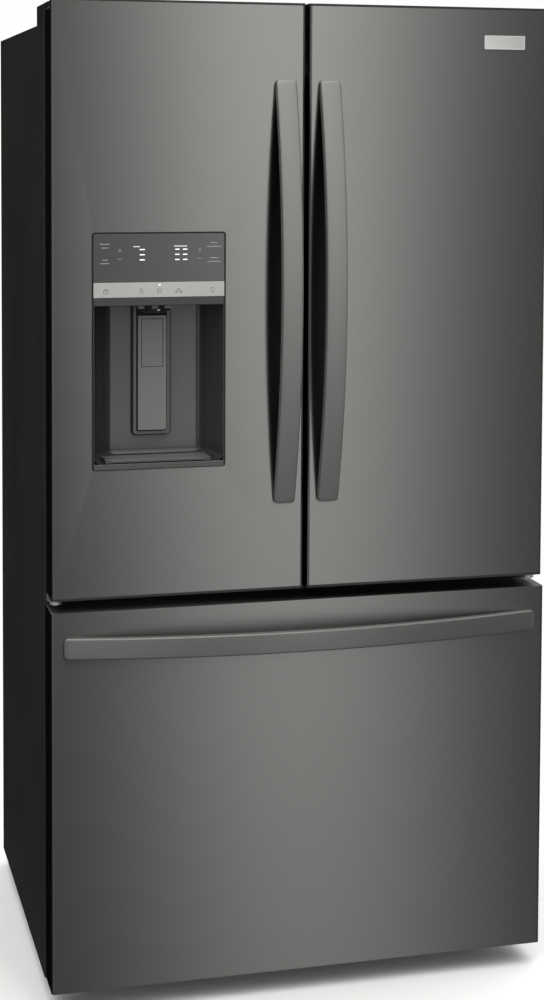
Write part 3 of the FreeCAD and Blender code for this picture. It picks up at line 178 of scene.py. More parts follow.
def moulded(name, colour, rough, grain=0.06, scale=1400):
    """Moulded plastic with a faint spark-eroded grain and slow flow marks."""
    n = Nodes(name)
    pits = n.noise(scale, 2.0, None, 0.7)
    flow = n.noise(5.0, 2.0)
    tint = n.mix(n.between(flow, 0.0, 1.0), shade(colour, 0.95), shade(colour, 1.05))
    return n.set(Base_Color=tint, Roughness=n.between(flow, rough * 0.9, rough * 1.12),
                 Normal=n.bump(pits, grain, 0.0004))


def clear(name, colour, rough, ior=1.49):
    """Clear plastic or glass: see-through, with a trace of haze."""
    n = Nodes(name)
    haze = n.noise(60.0, 3.0)
    return n.set(Base_Color=n.mix(n.between(haze, 0.0, 1.0), shade(colour, 0.98), colour),
                 Roughness=n.between(haze, rough * 0.7, rough * 1.5), IOR=ior,
                 Transmission_Weight=1.0)


def galvanised(name, colour, rough):
    """Zinc-coated steel with its spangle."""
    n = Nodes(name)
    cells = n.add("ShaderNodeTexVoronoi", {"Vector": n.place, "Scale": 55.0}).outputs["Color"]
    grey = n.add("ShaderNodeRGBToBW", {"Color": cells}).outputs[0]
    tint = n.mix(grey, shade(colour, 0.82), shade(colour, 1.12))
    return n.set(Base_Color=tint, Metallic=0.9, Roughness=n.between(grey, rough * 0.8, rough * 1.3))


def foamed(name, colour):
    n = Nodes(name)
    cells = n.noise(120.0, 4.0, None, 0.7)
    tint = n.mix(n.between(cells, 0.0, 1.0), shade(colour, 0.8), colour)
    return n.set(Base_Color=tint, Roughness=0.9, Normal=n.bump(cells, 0.5, 0.002))


def lit(name, colour, strength):
    n = Nodes(name)
    grain = n.noise(300.0, 2.0)
    tint = n.mix(n.between(grain, 0.0, 1.0), shade(colour, 0.96), colour)
    return n.set(Base_Color=tint, Roughness=0.4, Emission_Color=tint, Emission_Strength=strength)


STAINLESS = brushed("black_stainless", (0.150, 0.147, 0.143), 0.28, "x", 0.95)
HANDLE = brushed("handle_stainless", (0.250, 0.246, 0.239), 0.40, "x", 0.5, 0.015, 0.5)
RAIL = brushed("rail_stainless", (0.186, 0.183, 0.178), 0.40, "x", 0.5, 0.015, 0.6)
MATERIALS = {
    "stainless_door": STAINLESS,
    "handle_steel": HANDLE,
    "cabinet_paint": painted("cabinet_paint", (0.021, 0.0205, 0.0195), 0.5),
    "galvanised_steel": galvanised("galvanised_steel", (0.62, 0.63, 0.64), 0.38),
    "slide_steel": galvanised("slide_steel", (0.70, 0.71, 0.72), 0.25),
    "foam": foamed("foam", (0.85, 0.76, 0.50)),
    "white_liner": moulded("white_liner", (0.80, 0.81, 0.81), 0.28, 0.03),
    "dark_caps": moulded("dark_caps", (0.022, 0.022, 0.022), 0.42),
    "gasket_grey": moulded("gasket_grey", (0.05, 0.05, 0.052), 0.6, 0.1),
    "clear_bins": clear("clear_plastic", (0.93, 0.96, 0.97), 0.05, 1.12),
    "shelf_trim": moulded("shelf_trim", (0.75, 0.76, 0.77), 0.3, 0.03),
    "basket_plastic": moulded("basket_plastic", (0.72, 0.74, 0.76), 0.38),
    "dispenser_dark": moulded("dispenser_dark", (0.024, 0.024, 0.023), 0.30),
    "panel_glass": moulded("panel_glass", (0.082, 0.081, 0.079), 0.16, 0.0),
    "silver_trim": painted("silver_trim", (0.60, 0.593, 0.58), 0.35, 1200, 0.03, 0.25),
    "badge": brushed("badge_metal", (0.60, 0.60, 0.59), 0.32),
    "mullion_paint": moulded("mullion_paint", (0.16, 0.16, 0.165), 0.4),
    "aluminium_fins": brushed("aluminium_fins", (0.8, 0.8, 0.81), 0.3, "z"),
    "black_steel": painted("black_steel", (0.015, 0.015, 0.016), 0.3, 300, 0.2),
    "light_lens": lit("light_lens", (0.95, 0.95, 0.92), 0.25),
    "black_plastic": moulded("black_plastic", (0.018, 0.018, 0.018), 0.5, 0.12),
}
GLASS = clear("shelf_glass", (0.86, 0.95, 0.92), 0.02, 1.52)
PADDLE = moulded("paddle_face", (0.235, 0.231, 0.224), 0.34)
CHEEK = moulded("header_plastic", (0.052, 0.051, 0.050), 0.32)
NICHE = moulded("recess_walls", (0.042, 0.0412, 0.040), 0.27, 0.02)
# the recess back: a paler copy of the recess-wall plastic, painted light where the back faces the bright
# band
NICHE_BACK_PAINTED_LIGHT = moulded("recess_back_painted_light", (0.135, 0.133, 0.130), 0.30, 0.02)
SILL = moulded("ridge_plastic", (0.140, 0.137, 0.133), 0.34)
LEDGE = moulded("sill_plastic", (0.088, 0.086, 0.084), 0.36)
# near-black painted shade for gaps: the seam round the dispenser cutout and the slot behind the paddle
PAINTED_GAP_SHADE = moulded("gap_painted_shade", (0.004, 0.004, 0.004), 0.6)
# a near-black ring painting the shadow round the paddle's ridge
PAINTED_GROOVE_SHADOW = moulded("groove_shadow", (0.012, 0.012, 0.012), 0.45)
LINE = moulded("pad_line", (0.03, 0.03, 0.029), 0.5)
INK = moulded("dark_ink", (0.10, 0.10, 0.10), 0.5)
DIGIT = lit("display_light", (1.0, 1.0, 1.0), 0.95)
TITLE = lit("display_titles", (0.8, 0.8, 0.8), 0.5)
FAINT = lit("display_labels", (0.40, 0.40, 0.39), 0.16)
# light grey diffuse paint in place of chrome: a painted highlight for the water tube's tip and the badge's
# rim
GLINT_GREY = painted("nozzle_painted_glint", (0.80, 0.80, 0.80), 0.25, 400, 0.0, 0.2)


# ---------------------------------------------------------------- meshes

def new_object(name, mesh, material, body, node=None):
    obj = bpy.data.objects.new(name, mesh)
    bpy.context.scene.collection.objects.link(obj)
    mesh.materials.clear()
    mesh.materials.append(material)
    grain_map(mesh)
    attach(obj, body)
    if node:
        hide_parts(node)
    return obj


def smooth_by_angle(mesh, degrees=35):
    """Smooth shading with sharp creases where faces meet at more than an angle."""
    bm = bmesh.new()
    bm.from_mesh(mesh)
    limit = math.radians(degrees)
    for face in bm.faces:
        face.smooth = True
    for edge in bm.edges:
        edge.smooth = len(edge.link_faces) != 2 or edge.calc_face_angle(math.pi) < limit
    bm.to_mesh(mesh)
    bm.free()


def grain_map(mesh):
    """A map of the brushing direction: the first coordinate runs across, the second up."""
    for layer in list(mesh.uv_layers):
        mesh.uv_layers.remove(layer)
    layer = mesh.uv_layers.new(name="grain")
    spots = [mesh.vertices[loop.vertex_index].co for loop in mesh.loops]
    for cell, co in zip(layer.data, spots):
        cell.uv = (co.x + co.y, co.z + 0.37 * co.y)


def weighted(obj):
    modifier = obj.modifiers.new("weighted", "WEIGHTED_NORMAL")
    modifier.keep_sharp = True
    modifier.weight = 100


def finish_mesh(bm, name, material, body, node=None, degrees=35):
    """Turn a bmesh in design millimetres into a piece."""
    for vert in bm.verts:
        vert.co = at(*vert.co)
    bmesh.ops.recalc_face_normals(bm, faces=bm.faces[:])
    mesh = bpy.data.meshes.new(name)
    bm.to_mesh(mesh)
    bm.free()
    smooth_by_angle(mesh, degrees)
    obj = new_object(name, mesh, material, body, node)
    weighted(obj)
    return obj


def add_block(bm, x, y, z, radius, steps=2):
    """A box between (low, high) pairs, with its edges rounded."""
    made = bmesh.ops.create_cube(bm, size=1.0)["verts"]
    centre = Vector(((x[0] + x[1]) / 2, (y[0] + y[1]) / 2, (z[0] + z[1]) / 2))
    size = Vector((x[1] - x[0], y[1] - y[0], z[1] - z[0]))
    for vert in made:
        vert.co = Vector([c * s for c, s in zip(vert.co, size)]) + centre
    picked = {e for v in made for e in v.link_edges}
    bmesh.ops.bevel(bm, geom=list(picked), offset=radius, segments=steps, profile=0.5,
                    affect="EDGES", clamp_overlap=True)


def block(name, x, y, z, radius, material, body, node=None, steps=3):
    """A rounded box as a piece of its own."""
    bm = bmesh.new()
    add_block(bm, x, y, z, radius, steps)
    return finish_mesh(bm, name, material, body, node)


def bridge(bm, rings):
    """Quads between each closed ring of vertices and the next."""
    for a, b in zip(rings, rings[1:]):
        count = len(a)
        for i in range(count):
            bm.faces.new((a[i], a[(i + 1) % count], b[(i + 1) % count], b[i]))


# for CAD surfaces, in metres: vertices this close are joined, and a corner this far past an edge's
# line still counts as on it
WELD, OFF_LINE = 1e-6, 1e-7
# in degrees: faces this close to parallel are one plane, edges sharper than this are rounded, and
# edges sharper than this stay creased
SAME_PLANE, SHARP_ANGLE, SHELL_SMOOTH = 0.6, 32, 38


def flat_areas(bm):
    """Groups of faces that lie in one plane and touch along edges."""
    limit = math.radians(SAME_PLANE)
    left = set(bm.faces)
    groups = []
    while left:
        stack = [left.pop()]
        area = []
        while stack:
            face = stack.pop()
            area.append(face)
            for edge in face.edges:
                if len(edge.link_faces) != 2 or edge.calc_face_angle(math.pi) > limit:
                    continue
                for other in edge.link_faces:
                    if other in left:
                        left.remove(other)
                        stack.append(other)
        groups.append(area)
    return groups


def merge_flat(bm):
    """Join the triangles of each convex flat area into one face. Areas with a hole or a notch stay."""
    for area in flat_areas(bm):
        if len(area) < 2:
            continue
        inside = set(area)
        rim = [e for f in area for e in f.edges if sum(g in inside for g in e.link_faces) == 1]
        corners = {v.co.copy().freeze() for e in rim for v in e.verts}
        normal = area[0].normal.copy()
        convex = True
        for edge in rim:
            start, end = (v.co for v in edge.verts)
            side = normal.cross(end - start)
            offsets = [side.dot(point - start) for point in corners]
            if min(offsets) < -OFF_LINE and max(offsets) > OFF_LINE:
                convex = False
                break
        if convex:
            bmesh.ops.dissolve_faces(bm, faces=area, use_verts=False)


def refine(node, bevel, material=None, steps=2):
    """A CAD node's own surface, with flat faces merged and its sharp edges rounded."""
    source = frame["nodes"][node]
    mesh = source.data.copy()
    bm = bmesh.new()
    bm.from_mesh(mesh)
    bmesh.ops.remove_doubles(bm, verts=bm.verts[:], dist=WELD)
    merge_flat(bm)
    if bevel:
        limit = math.radians(SHARP_ANGLE)
        sharp = [e for e in bm.edges if len(e.link_faces) == 2 and e.calc_face_angle(0) > limit]
        bmesh.ops.bevel(bm, geom=sharp, offset=bevel * MM, segments=steps, profile=0.5, affect="EDGES",
                        clamp_overlap=True, miter_outer="ARC")
    bm.to_mesh(mesh)
    bm.free()
    smooth_by_angle(mesh, SHELL_SMOOTH)
    obj = new_object(node + "_shell", mesh, material or MATERIALS[slot_of[node]], source["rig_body"], node)
    weighted(obj)
    return obj


random.seed(5)
slot_of = {s["node"]: s["material_slot"] for s in frame["record"]["subparts"]}
for name, obj in frame["nodes"].items():
    obj.data.materials.clear()
    obj.data.materials.append(MATERIALS[slot_of[name]])


# ---------------------------------------------------------------- shells, caps and interior

for name in ("door_left_skin", "door_right_skin", "freezer_drawer_skin"):
    refine(name, 0.5)
for name in ("door_left_end_caps", "door_right_end_caps"):
    refine(name, 0.7)
refine("cabinet_wrapper", 0.4)
refine("hinge_covers", 0.9)
for name in ("door_left_liner", "door_right_liner", "freezer_drawer_liner", "fresh_food_liner",
             "freezer_liner", "ice_maker", "air_duct_covers"):
    refine(name, 1.0)
for name in ("door_left_gasket", "door_right_gasket", "freezer_drawer_gasket"):
    refine(name, 2.6, steps=3)
for name in ("door_left_bins", "door_right_bins", "crisper_left", "crisper_right", "deli_drawer"):
    refine(name, 0.9)
refine("glass_shelves", 0.8, GLASS)
for name in ("shelf_frames", "freezer_lower_basket", "freezer_upper_basket", "mullion_flipper",
             "divider_trim", "door_hinges", "machine_cover", "led_lights", "water_valve", "fan_motor",
             "back_panel", "levelling_feet", "roller_left", "roller_right", "roller_brackets",
             "freezer_slide_inner", "freezer_slide_middle", "freezer_slide_outer", "compressor",
             "condenser_fan"):
    refine(name, 0.4)


# ---------------------------------------------------------------- handles

# the handles' feet stand this far out, and the bars are this thick
FOOT, BAR_THICK = 9.0, 15.0
CROWN, SIDE_ROUND, END_ROUND, END_SLOPE = 0.35, 3.0, 6.0, 0.8
BAR_STEPS, FLAT_STEPS, CORNER_STEPS = 80, 5, 6
# how far the feet sink into the panel, the most of a bar's half width and depth its rolled edge may
# take, and how close two vertices are joined
SUNK, ROLL_SHARE, DEEP_SHARE, BAR_WELD = 0.4, 0.9, 0.45, 0.002


def handle(name, node, body, material, upright):
    """A bowed bar: a slightly crowned brushed face with rolled edges, its feet thinning onto the panel."""
    low, high = node_box(node)
    run = 2 if upright else 0
    cross = 0 if upright else 2
    panel = high[1]
    reach = panel - low[1]
    middle = (low[run] + high[run]) / 2
    half = (high[run] - low[run]) / 2
    radius = (half ** 2 + (reach - FOOT) ** 2) / (2 * (reach - FOOT))
    wide = (high[cross] - low[cross]) / 2
    centre = (high[cross] + low[cross]) / 2
    bm = bmesh.new()
    rings = []
    for i in range(BAR_STEPS + 1):
        along_bar = half * math.sin(math.radians(90) * (i / BAR_STEPS * 2 - 1))
        front = reach - CROWN + math.sqrt(radius ** 2 - along_bar ** 2) - radius
        inner = math.sqrt((radius - BAR_THICK) ** 2 - along_bar ** 2) - radius + reach
        back = max(inner, -SUNK)
        to_end = half - abs(along_bar)
        pinch = 0.0
        if to_end <= END_ROUND:
            pinch = END_ROUND - math.sqrt(END_ROUND ** 2 - (END_ROUND - to_end) ** 2)
        across = wide - pinch
        front -= END_SLOPE * max(0.0, 1 - to_end / END_ROUND) ** 2
        roll = min(SIDE_ROUND, across * ROLL_SHARE)
        deep = min(SIDE_ROUND, (front - back) * DEEP_SHARE)
        ring = []
        for k in range(FLAT_STEPS + 1):
            u = (across - roll) * k / FLAT_STEPS
            ring.append((u, front + CROWN * (1 - (u / wide) ** 2)))
        edge = ring[-1][1]
        for k in range(1, CORNER_STEPS + 1):
            a = math.radians(90) * k / CORNER_STEPS
            ring.append((across - roll + roll * math.sin(a), edge - deep + deep * math.cos(a)))
        for k in range(CORNER_STEPS + 1):
            a = math.radians(90) * k / CORNER_STEPS
            ring.append((across - roll + roll * math.cos(a), back + deep - deep * math.sin(a)))
        ring = ring + [(-u, v) for u, v in reversed(ring)][:-1]
        verts = []
        for u, out in ring:
            spot = [0, panel - out, 0]
            spot[run] = middle + along_bar
            spot[cross] = centre + u
            verts.append(bm.verts.new(spot))
        rings.append(verts)
    bridge(bm, rings)
    bm.faces.new(rings[0])
    bm.faces.new(list(reversed(rings[-1])))
    bmesh.ops.remove_doubles(bm, verts=bm.verts[:], dist=BAR_WELD)
    return finish_mesh(bm, name, material, body, node, 50)


handle("left_handle_bar", "door_left_handle", "left_door", HANDLE, True)
handle("right_handle_bar", "door_right_handle", "right_door", HANDLE, True)
handle("drawer_handle_bar", "freezer_drawer_handle", "freezer_drawer", RAIL, False)


# ---------------------------------------------------------------- dispenser

panel_low, panel_high = node_box("dispenser_housing")
X0, X1 = panel_low[0], panel_high[0]
Z0, Z1 = panel_low[2], panel_high[2]
glass_box = node_box("control_panel")
GLASS_LOW = glass_box[0][2]
STRIP_TALL, LIP_TALL, SILL_TALL = 26.5, 14.5, 11
STRIP_LOW = GLASS_LOW - STRIP_TALL
RECESS_LOW, RECESS_HIGH = Z0 + SILL_TALL, STRIP_LOW - LIP_TALL
MID = (X0 + X1) / 2


def rounded_loop(x, z, radius, steps=5):
    """Corner points of a rounded rectangle seen from the front."""
    points = []
    corners = ((x[1] - radius, z[1] - radius, 0), (x[0] + radius, z[1] - radius, 90),
               (x[0] + radius, z[0] + radius, 180), (x[1] - radius, z[0] + radius, 270))
    for cx, cz, turn in corners:
        for k in range(steps + 1):
            a = math.radians(turn + 90 * k / steps)
            points.append((cx + radius * math.cos(a), cz + radius * math.sin(a)))
    return points


def frame_ring(name, outer, inner, y, material, body):
    """A flat ring between two loops of the same length, with depth."""
    bm = bmesh.new()
    sets = []
    for loop, depth in ((outer, y[0]), (outer, y[1]), (inner, y[1]), (inner, y[0])):
        sets.append([bm.verts.new((px, depth, pz)) for px, pz in loop])
    bridge(bm, sets + sets[:1])
    return finish_mesh(bm, name, material, body)


def plate(name, loop, y, material, body, bevel=0.5, node=None):
    """A flat plate cut to a loop, with its front edge rounded."""
    bm = bmesh.new()
    face = bm.faces.new([bm.verts.new((px, y[0], pz)) for px, pz in loop])
    made = bmesh.ops.extrude_face_region(bm, geom=[face])["geom"]
    for item in made:
        if isinstance(item, bmesh.types.BMVert):
            item.co.y = y[1]
    if bevel:
        rim = [e for e in bm.edges if all(abs(v.co.y - y[0]) < 1e-6 for v in e.verts)]
        bmesh.ops.bevel(bm, geom=rim, offset=bevel, segments=2, profile=0.5, affect="EDGES",
                        clamp_overlap=True)
    return finish_mesh(bm, name, material, body, node)


def make_dispenser():
    body = "left_door"
    outer = rounded_loop((X0, X1), (Z0, Z1), 5)
    bezel, rim, glass_edge, block_edge = 2.2, 4, 2.6, 3
    inner = rounded_loop((X0 + bezel, X1 - bezel), (Z0 + bezel, Z1 - bezel), 4)
    # a near-black ring painting the shade of the seam round the cutout
    frame_ring("dispenser_seam_shade", outer, inner, (-0.6, 4), PAINTED_GAP_SHADE, body)
    face = rounded_loop((X0 + rim, X1 - rim), (RECESS_LOW, Z1 - rim), 2)
    frame_ring("dispenser_rim", inner, face, (-0.4, 8), MATERIALS["dispenser_dark"], body)
    # control glass, silver strip, header lip and sill
    x = (X0 + glass_edge, X1 - glass_edge)
    top = Z1 - glass_edge
    loop = [(x[0], GLASS_LOW), (x[1], GLASS_LOW)]
    loop += [p for p in rounded_loop(x, (GLASS_LOW, top), 4) if p[1] > (GLASS_LOW + top) / 2]
    plate("control_glass", loop, (-1.2, 4), MATERIALS["panel_glass"], body, 0.5, "control_panel")
    block("dispenser_strip", x, (-2.2, 5), (STRIP_LOW, GLASS_LOW - 0.4), 0.7,
          MATERIALS["silver_trim"], body, "dispenser_trim", steps=2)
    x = (X0 + block_edge, X1 - block_edge)
    block("dispenser_header", x, (-1.6, 30), (RECESS_HIGH, STRIP_LOW - 0.3), 1.2, CHEEK, body)
    block("dispenser_sill", x, (-3.0, 6), (Z0 + 1, RECESS_LOW), 1.0, LEDGE, body)


make_dispenser()


# the recess: its depth, its back wall's sides, the part of the back given a paler copy of the wall plastic
# as painted light
DEEP = 85.0
WALL = (-332, -184)
PAINTED_LIGHT_SPAN = (-335, -182)
FLOOR_FILLET = 12.0
CURVE_STEPS, FILLET_STEPS = 16, 6
# a cheek's curve: how far its two handles stand in from its ends, and the first one's depth
MOUTH_PULL, WALL_PULL, MOUTH_DEPTH, MOUTH_OUT = 5, 24, 46, -0.4
CHEEK_EDGE, BACK_HALF, FILLET_REACH, MID_LEVEL = 4, 20, 60, 100


def make_niche():
    """The recess as one moulded skin: curved cheeks, a flat back and a floor with filleted corners."""
    left, right = X0 + CHEEK_EDGE, X1 - CHEEK_EDGE
    back_left, back_right = WALL[0], WALL[1]
    profile = []
    for k in range(CURVE_STEPS + 1):
        t = k / CURVE_STEPS
        weights = ((1 - t) ** 3, 3 * t * (1 - t) ** 2, 3 * t ** 2 * (1 - t), t ** 3)
        xs = (left, left + MOUTH_PULL, back_left - WALL_PULL, back_left)
        ys = (MOUTH_OUT, MOUTH_DEPTH, DEEP, DEEP)
        profile.append((sum(w * v for w, v in zip(weights, xs)), sum(w * v for w, v in zip(weights, ys))))
    mirrored = []
    for x, y in reversed(profile):
        share = (x - left) / (back_left - left)
        mirrored.append((right - share * (right - back_right), y))
    profile = profile + [(MID - BACK_HALF, DEEP), (MID + BACK_HALF, DEEP)] + mirrored
    levels = []
    for k in range(FILLET_STEPS + 1):
        a = math.radians(90) * k / FILLET_STEPS
        levels.append((RECESS_LOW + FLOOR_FILLET * (1 - math.sin(a)), FLOOR_FILLET * (1 - math.cos(a))))
    levels = levels[::-1] + [(RECESS_LOW + MID_LEVEL, 0.0), (RECESS_HIGH, 0.0)]
    bm = bmesh.new()
    rows = []
    for z, inset in levels:
        row = []
        for x, y in profile:
            toward = inset * min(1.0, abs(x - MID) / FILLET_REACH)
            row.append(bm.verts.new((x + math.copysign(toward, MID - x), y - inset * y / DEEP, z)))
        rows.append(row)
    for a, b in zip(rows, rows[1:]):
        for i in range(len(profile) - 1):
            bm.faces.new((a[i], a[i + 1], b[i + 1], b[i]))
    bm.faces.new(rows[0])
    bm.faces.new(list(reversed(rows[-1])))
    niche = finish_mesh(bm, "dispenser_niche", NICHE, "left_door", "dispenser_housing",
                        60)
    # the flat middle of the back takes the paler copy, painted light on the same moulded plastic
    niche.data.materials.append(NICHE_BACK_PAINTED_LIGHT)
    for face in niche.data.polygons:
        place = face.center / MM
        flat = abs(face.normal.y) > 0.5 and place.z > RECESS_LOW + FLOOR_FILLET
        face.material_index = int(flat and PAINTED_LIGHT_SPAN[0] < place.x < PAINTED_LIGHT_SPAN[1])



PADDLE_TRIM, PADDLE_THICK = 0.4, 6.5
RIDGE_FRONT = 75.0


def make_surround():
    """The raised U-shaped ridge round the paddle, a dark ring outside it painting the shadow round the
    ridge, and a near-black plate inside it painting the shade in the slot.
    """
    low, high = node_box("dispenser_paddle")
    top = RECESS_HIGH - 1
    gap, ridge, shade_band = 2.2, 5.0, 4.0
    spread = (low[0] + PADDLE_TRIM - gap, high[0] - PADDLE_TRIM + gap)
    foot = low[2] - 3
    inner = rounded_loop(spread, (foot, top - 5), 3, 6)
    outer = rounded_loop((spread[0] - ridge, spread[1] + ridge), (foot - ridge, top), 6, 6)
    reach = ridge + shade_band
    shade_loop = rounded_loop((spread[0] - reach, spread[1] + reach), (foot - reach, top), 9, 6)
    frame_ring("paddle_surround", outer, inner, (RIDGE_FRONT, DEEP), SILL, "left_door")
    # painted shadow: a thin dark ring round the ridge, standing in for its shade
    frame_ring("paddle_painted_shadow_ring", shade_loop, outer, (DEEP - 0.5, DEEP + 1), PAINTED_GROOVE_SHADOW, "left_door")
    # a near-black plate painting the shade in the slot behind the paddle
    plate("paddle_slot_shade", inner, (DEEP - 0.3, DEEP + 1), PAINTED_GAP_SHADE, "left_door", 0)



def make_paddle():
    """A flat flap with softened edges and a fine line round its upper pad."""
    low, high = node_box("dispenser_paddle")
    x = (low[0] + PADDLE_TRIM, high[0] - PADDLE_TRIM)
    outer = rounded_loop(x, (low[2], high[2]), 1.6, 4)
    plate("paddle_plate", outer, (low[1], low[1] + PADDLE_THICK), PADDLE, "paddle", 0.9,
          "dispenser_paddle")
    pad_side, pad_top, pad_foot, line = 5.5, 5, 91, 1.2
    pad_x, pad_z = (x[0] + pad_side, x[1] - pad_side), (high[2] - pad_foot, high[2] - pad_top)
    groove_out = rounded_loop(pad_x, pad_z, 1.5, 3)
    groove_in = rounded_loop((pad_x[0] + line, pad_x[1] - line), (pad_z[0] + line, pad_z[1] - line), 1, 3)
    frame_ring("paddle_pad_line", groove_out, groove_in, (low[1] - 0.15, low[1] + 0.4), LINE, "paddle")


make_niche()
make_surround()
make_paddle()


def revolve(bm, centre, outline, steps=32):
    """Rings of (radius, height) about an upright axis."""
    rings = []
    for radius, z in outline:
        ring = []
        for k in range(steps):
            a = 2 * math.pi * k / steps
            x, y = centre[0] + radius * math.cos(a), centre[1] + radius * math.sin(a)
            ring.append(bm.verts.new((x, y, z)))
        rings.append(ring)
    bridge(bm, rings)
    return rings


# outlines as (radius, drop below the recess's ceiling), and the lugs' sides across
CHUTE = ((34, 0), (32.5, 4), (29, 9), (24, 13), (18, 15.5), (13, 16), (11, 15), (10, 6))
TUBE = ((0.5, 0), (3.8, 0), (3.8, 9.5), (3.2, 10.6), (2.2, 10.6), (2.0, 7))
LUGS = ((-299.7, -288.3), (-275.6, -264.3), (-252.9, -236.0))
CHUTE_Y, TUBE_Y, TUBE_ASIDE, LUG_Y, LUG_TALL = 44, 18, 2, (9, 15), 6.5


def make_outlets():
    """The ice chute's mouth and the water tube below the recess's ceiling, its chrome tip painted light grey
    as a painted highlight.
    """
    top = RECESS_HIGH
    bm = bmesh.new()
    rings = revolve(bm, (MID, CHUTE_Y), [(radius, top - drop) for radius, drop in CHUTE], 40)
    bm.faces.new(rings[-1])
    finish_mesh(bm, "ice_chute_mouth", MATERIALS["dispenser_dark"], "left_door", "dispenser_nozzle")
    bm = bmesh.new()
    outline = [(radius, top - drop) for radius, drop in TUBE]
    rings = revolve(bm, (MID + TUBE_ASIDE, TUBE_Y), outline, 24)
    bm.faces.new(rings[-1])
    finish_mesh(bm, "water_tube_tip", GLINT_GREY, "left_door")
    bm = bmesh.new()
    for x in LUGS:
        add_block(bm, x, LUG_Y, (top - LUG_TALL, top), 0.8, 2)
    finish_mesh(bm, "chute_lugs", SILL, "left_door")


make_outlets()


def make_grille():
    """The drip tray: a shallow tub under a slotted top, with a raised rim at its ends."""
    low, high = node_box("drip_tray")
    slot_first, slot_wide, pitch, slots, margin = 12, 5, 9, 4, 9
    top = high[2] - 2
    bm = bmesh.new()
    add_block(bm, (low[0] + 1, high[0] - 1), (low[1] + 1, high[1] - 1), (low[2], top - 0.4), 0.6, 2)
    start = low[1]
    lands = []
    for i in range(slots):
        front = low[1] + slot_first + pitch * i
        lands.append((start, front))
        start = front + slot_wide
    lands.append((start, high[1]))
    for land in lands:
        add_block(bm, (low[0] + 1, high[0] - 1), land, (top - 1, high[2] - 0.3), 0.5, 2)
    for x in ((low[0], low[0] + margin), (high[0] - margin, high[0])):
        add_block(bm, x, (low[1], high[1]), (low[2], high[2]), 0.8, 3)
    finish_mesh(bm, "drip_grille", SILL, "drip_tray", "drip_tray")


make_grille()


# ---------------------------------------------------------------- display marks

def bars_on_panel(name, bars, y, material):
    """Small raised strokes on the control panel, each (x0, z0, x1, z1, width)."""
    bm = bmesh.new()
    for x0, z0, x1, z1, wide in bars:
        start, end = Vector((x0, 0, z0)), Vector((x1, 0, z1))
        run = (end - start).normalized()
        side = Vector((-run.z, 0, run.x)) * wide / 2
        corners = [start - side, end - side, end + run * wide * 0.35, end + side, start + side,
                   start - run * wide * 0.35]
        face = bm.faces.new([bm.verts.new((c.x, y, c.z)) for c in corners])
        made = bmesh.ops.extrude_face_region(bm, geom=[face])["geom"]
        for item in made:
            if isinstance(item, bmesh.types.BMVert):
                item.co.y = y - 0.12
    return finish_mesh(bm, name, material, "left_door")


def level_bars(x, z, wide, tall):
    """Three stacked lit bars whose lower left corner is x, z: a generic level mark in place of a reading."""
    gap, stroke, bars = 0.9, 1.7, 3
    heights = [z + tall * k / (bars - 1) for k in range(bars)]
    return [(x + gap, height, x + wide - gap, height, stroke) for height in heights]


def ring_strokes(x, z, radius, wide, steps=10, start=0, turn=360):
    points = []
    for k in range(steps + 1):
        a = math.radians(start + turn * k / steps)
        points.append((x + radius * math.cos(a), z + radius * math.sin(a)))
    return [(*a, *b, wide) for a, b in zip(points, points[1:])]


def dashes(x0, x1, drop, tall=1.5):
    """A generic printed line: short dashes of uneven length in place of a word."""
    pieces = []
    x = x0
    while x < x1 - 1.0:
        long = min(random.uniform(1.6, 3.6), x1 - x)
        pieces.append((X0 + x, Z1 - drop, X0 + x + long, Z1 - drop, tall))
        x += long + 0.9
    return pieces


GLASS_FACE, STRIP_FACE = -1.2, -2.2
# everything on the glass is placed by (distance from its left edge, distance below its top edge):
# lit bars as (left, width), and printed lines as (left, right, below)
LIT_BELOW, LIT_TALL = 47.5, 17.8
LIT_BARS = ((82.6, 9.8), (145.0, 8.6), (158.8, 8.8))
LABELS = ((14.2, 31.0, 20.0), (16.5, 29.5, 26.4), (18.5, 27.0, 47.2), (14.8, 29.8, 53.3),
          (208.6, 221.3, 18.8), (201.5, 229.0, 25.4), (207.0, 221.0, 45.2), (203.0, 227.0, 51.6))
PLUS_MINUS, PLUS_BELOW, MINUS_BELOW, PLUS_HALF, MINUS_HALF = (48.5, 189.3), 31, 46, 3.2, 4


def make_display():
    """Lit level marks, plus and minus marks and plain dashes, placed from the panel's top left corner."""
    lit_bars = []
    for left, wide in LIT_BARS:
        lit_bars += level_bars(X0 + left, Z1 - LIT_BELOW, wide, LIT_TALL)
    bars_on_panel("display_bars", lit_bars, GLASS_FACE, DIGIT)
    soft = dashes(72.4, 85.0, 24.6, 1.6) + dashes(144.2, 166, 24.2, 1.6)
    bars_on_panel("display_titles", soft, GLASS_FACE, TITLE)
    faint = []
    stroke = 0.8
    plus, minus = Z1 - PLUS_BELOW, Z1 - MINUS_BELOW
    for x in PLUS_MINUS:
        faint += [(X0 + x - PLUS_HALF, plus, X0 + x + PLUS_HALF, plus, stroke),
                  (X0 + x, plus - PLUS_HALF, X0 + x, plus + PLUS_HALF, stroke),
                  (X0 + x - MINUS_HALF, minus, X0 + x + MINUS_HALF, minus, stroke)]
    for x0, x1, drop in LABELS:
        faint += dashes(x0, x1, drop)
    bars_on_panel("display_marks", faint, GLASS_FACE, FAINT)


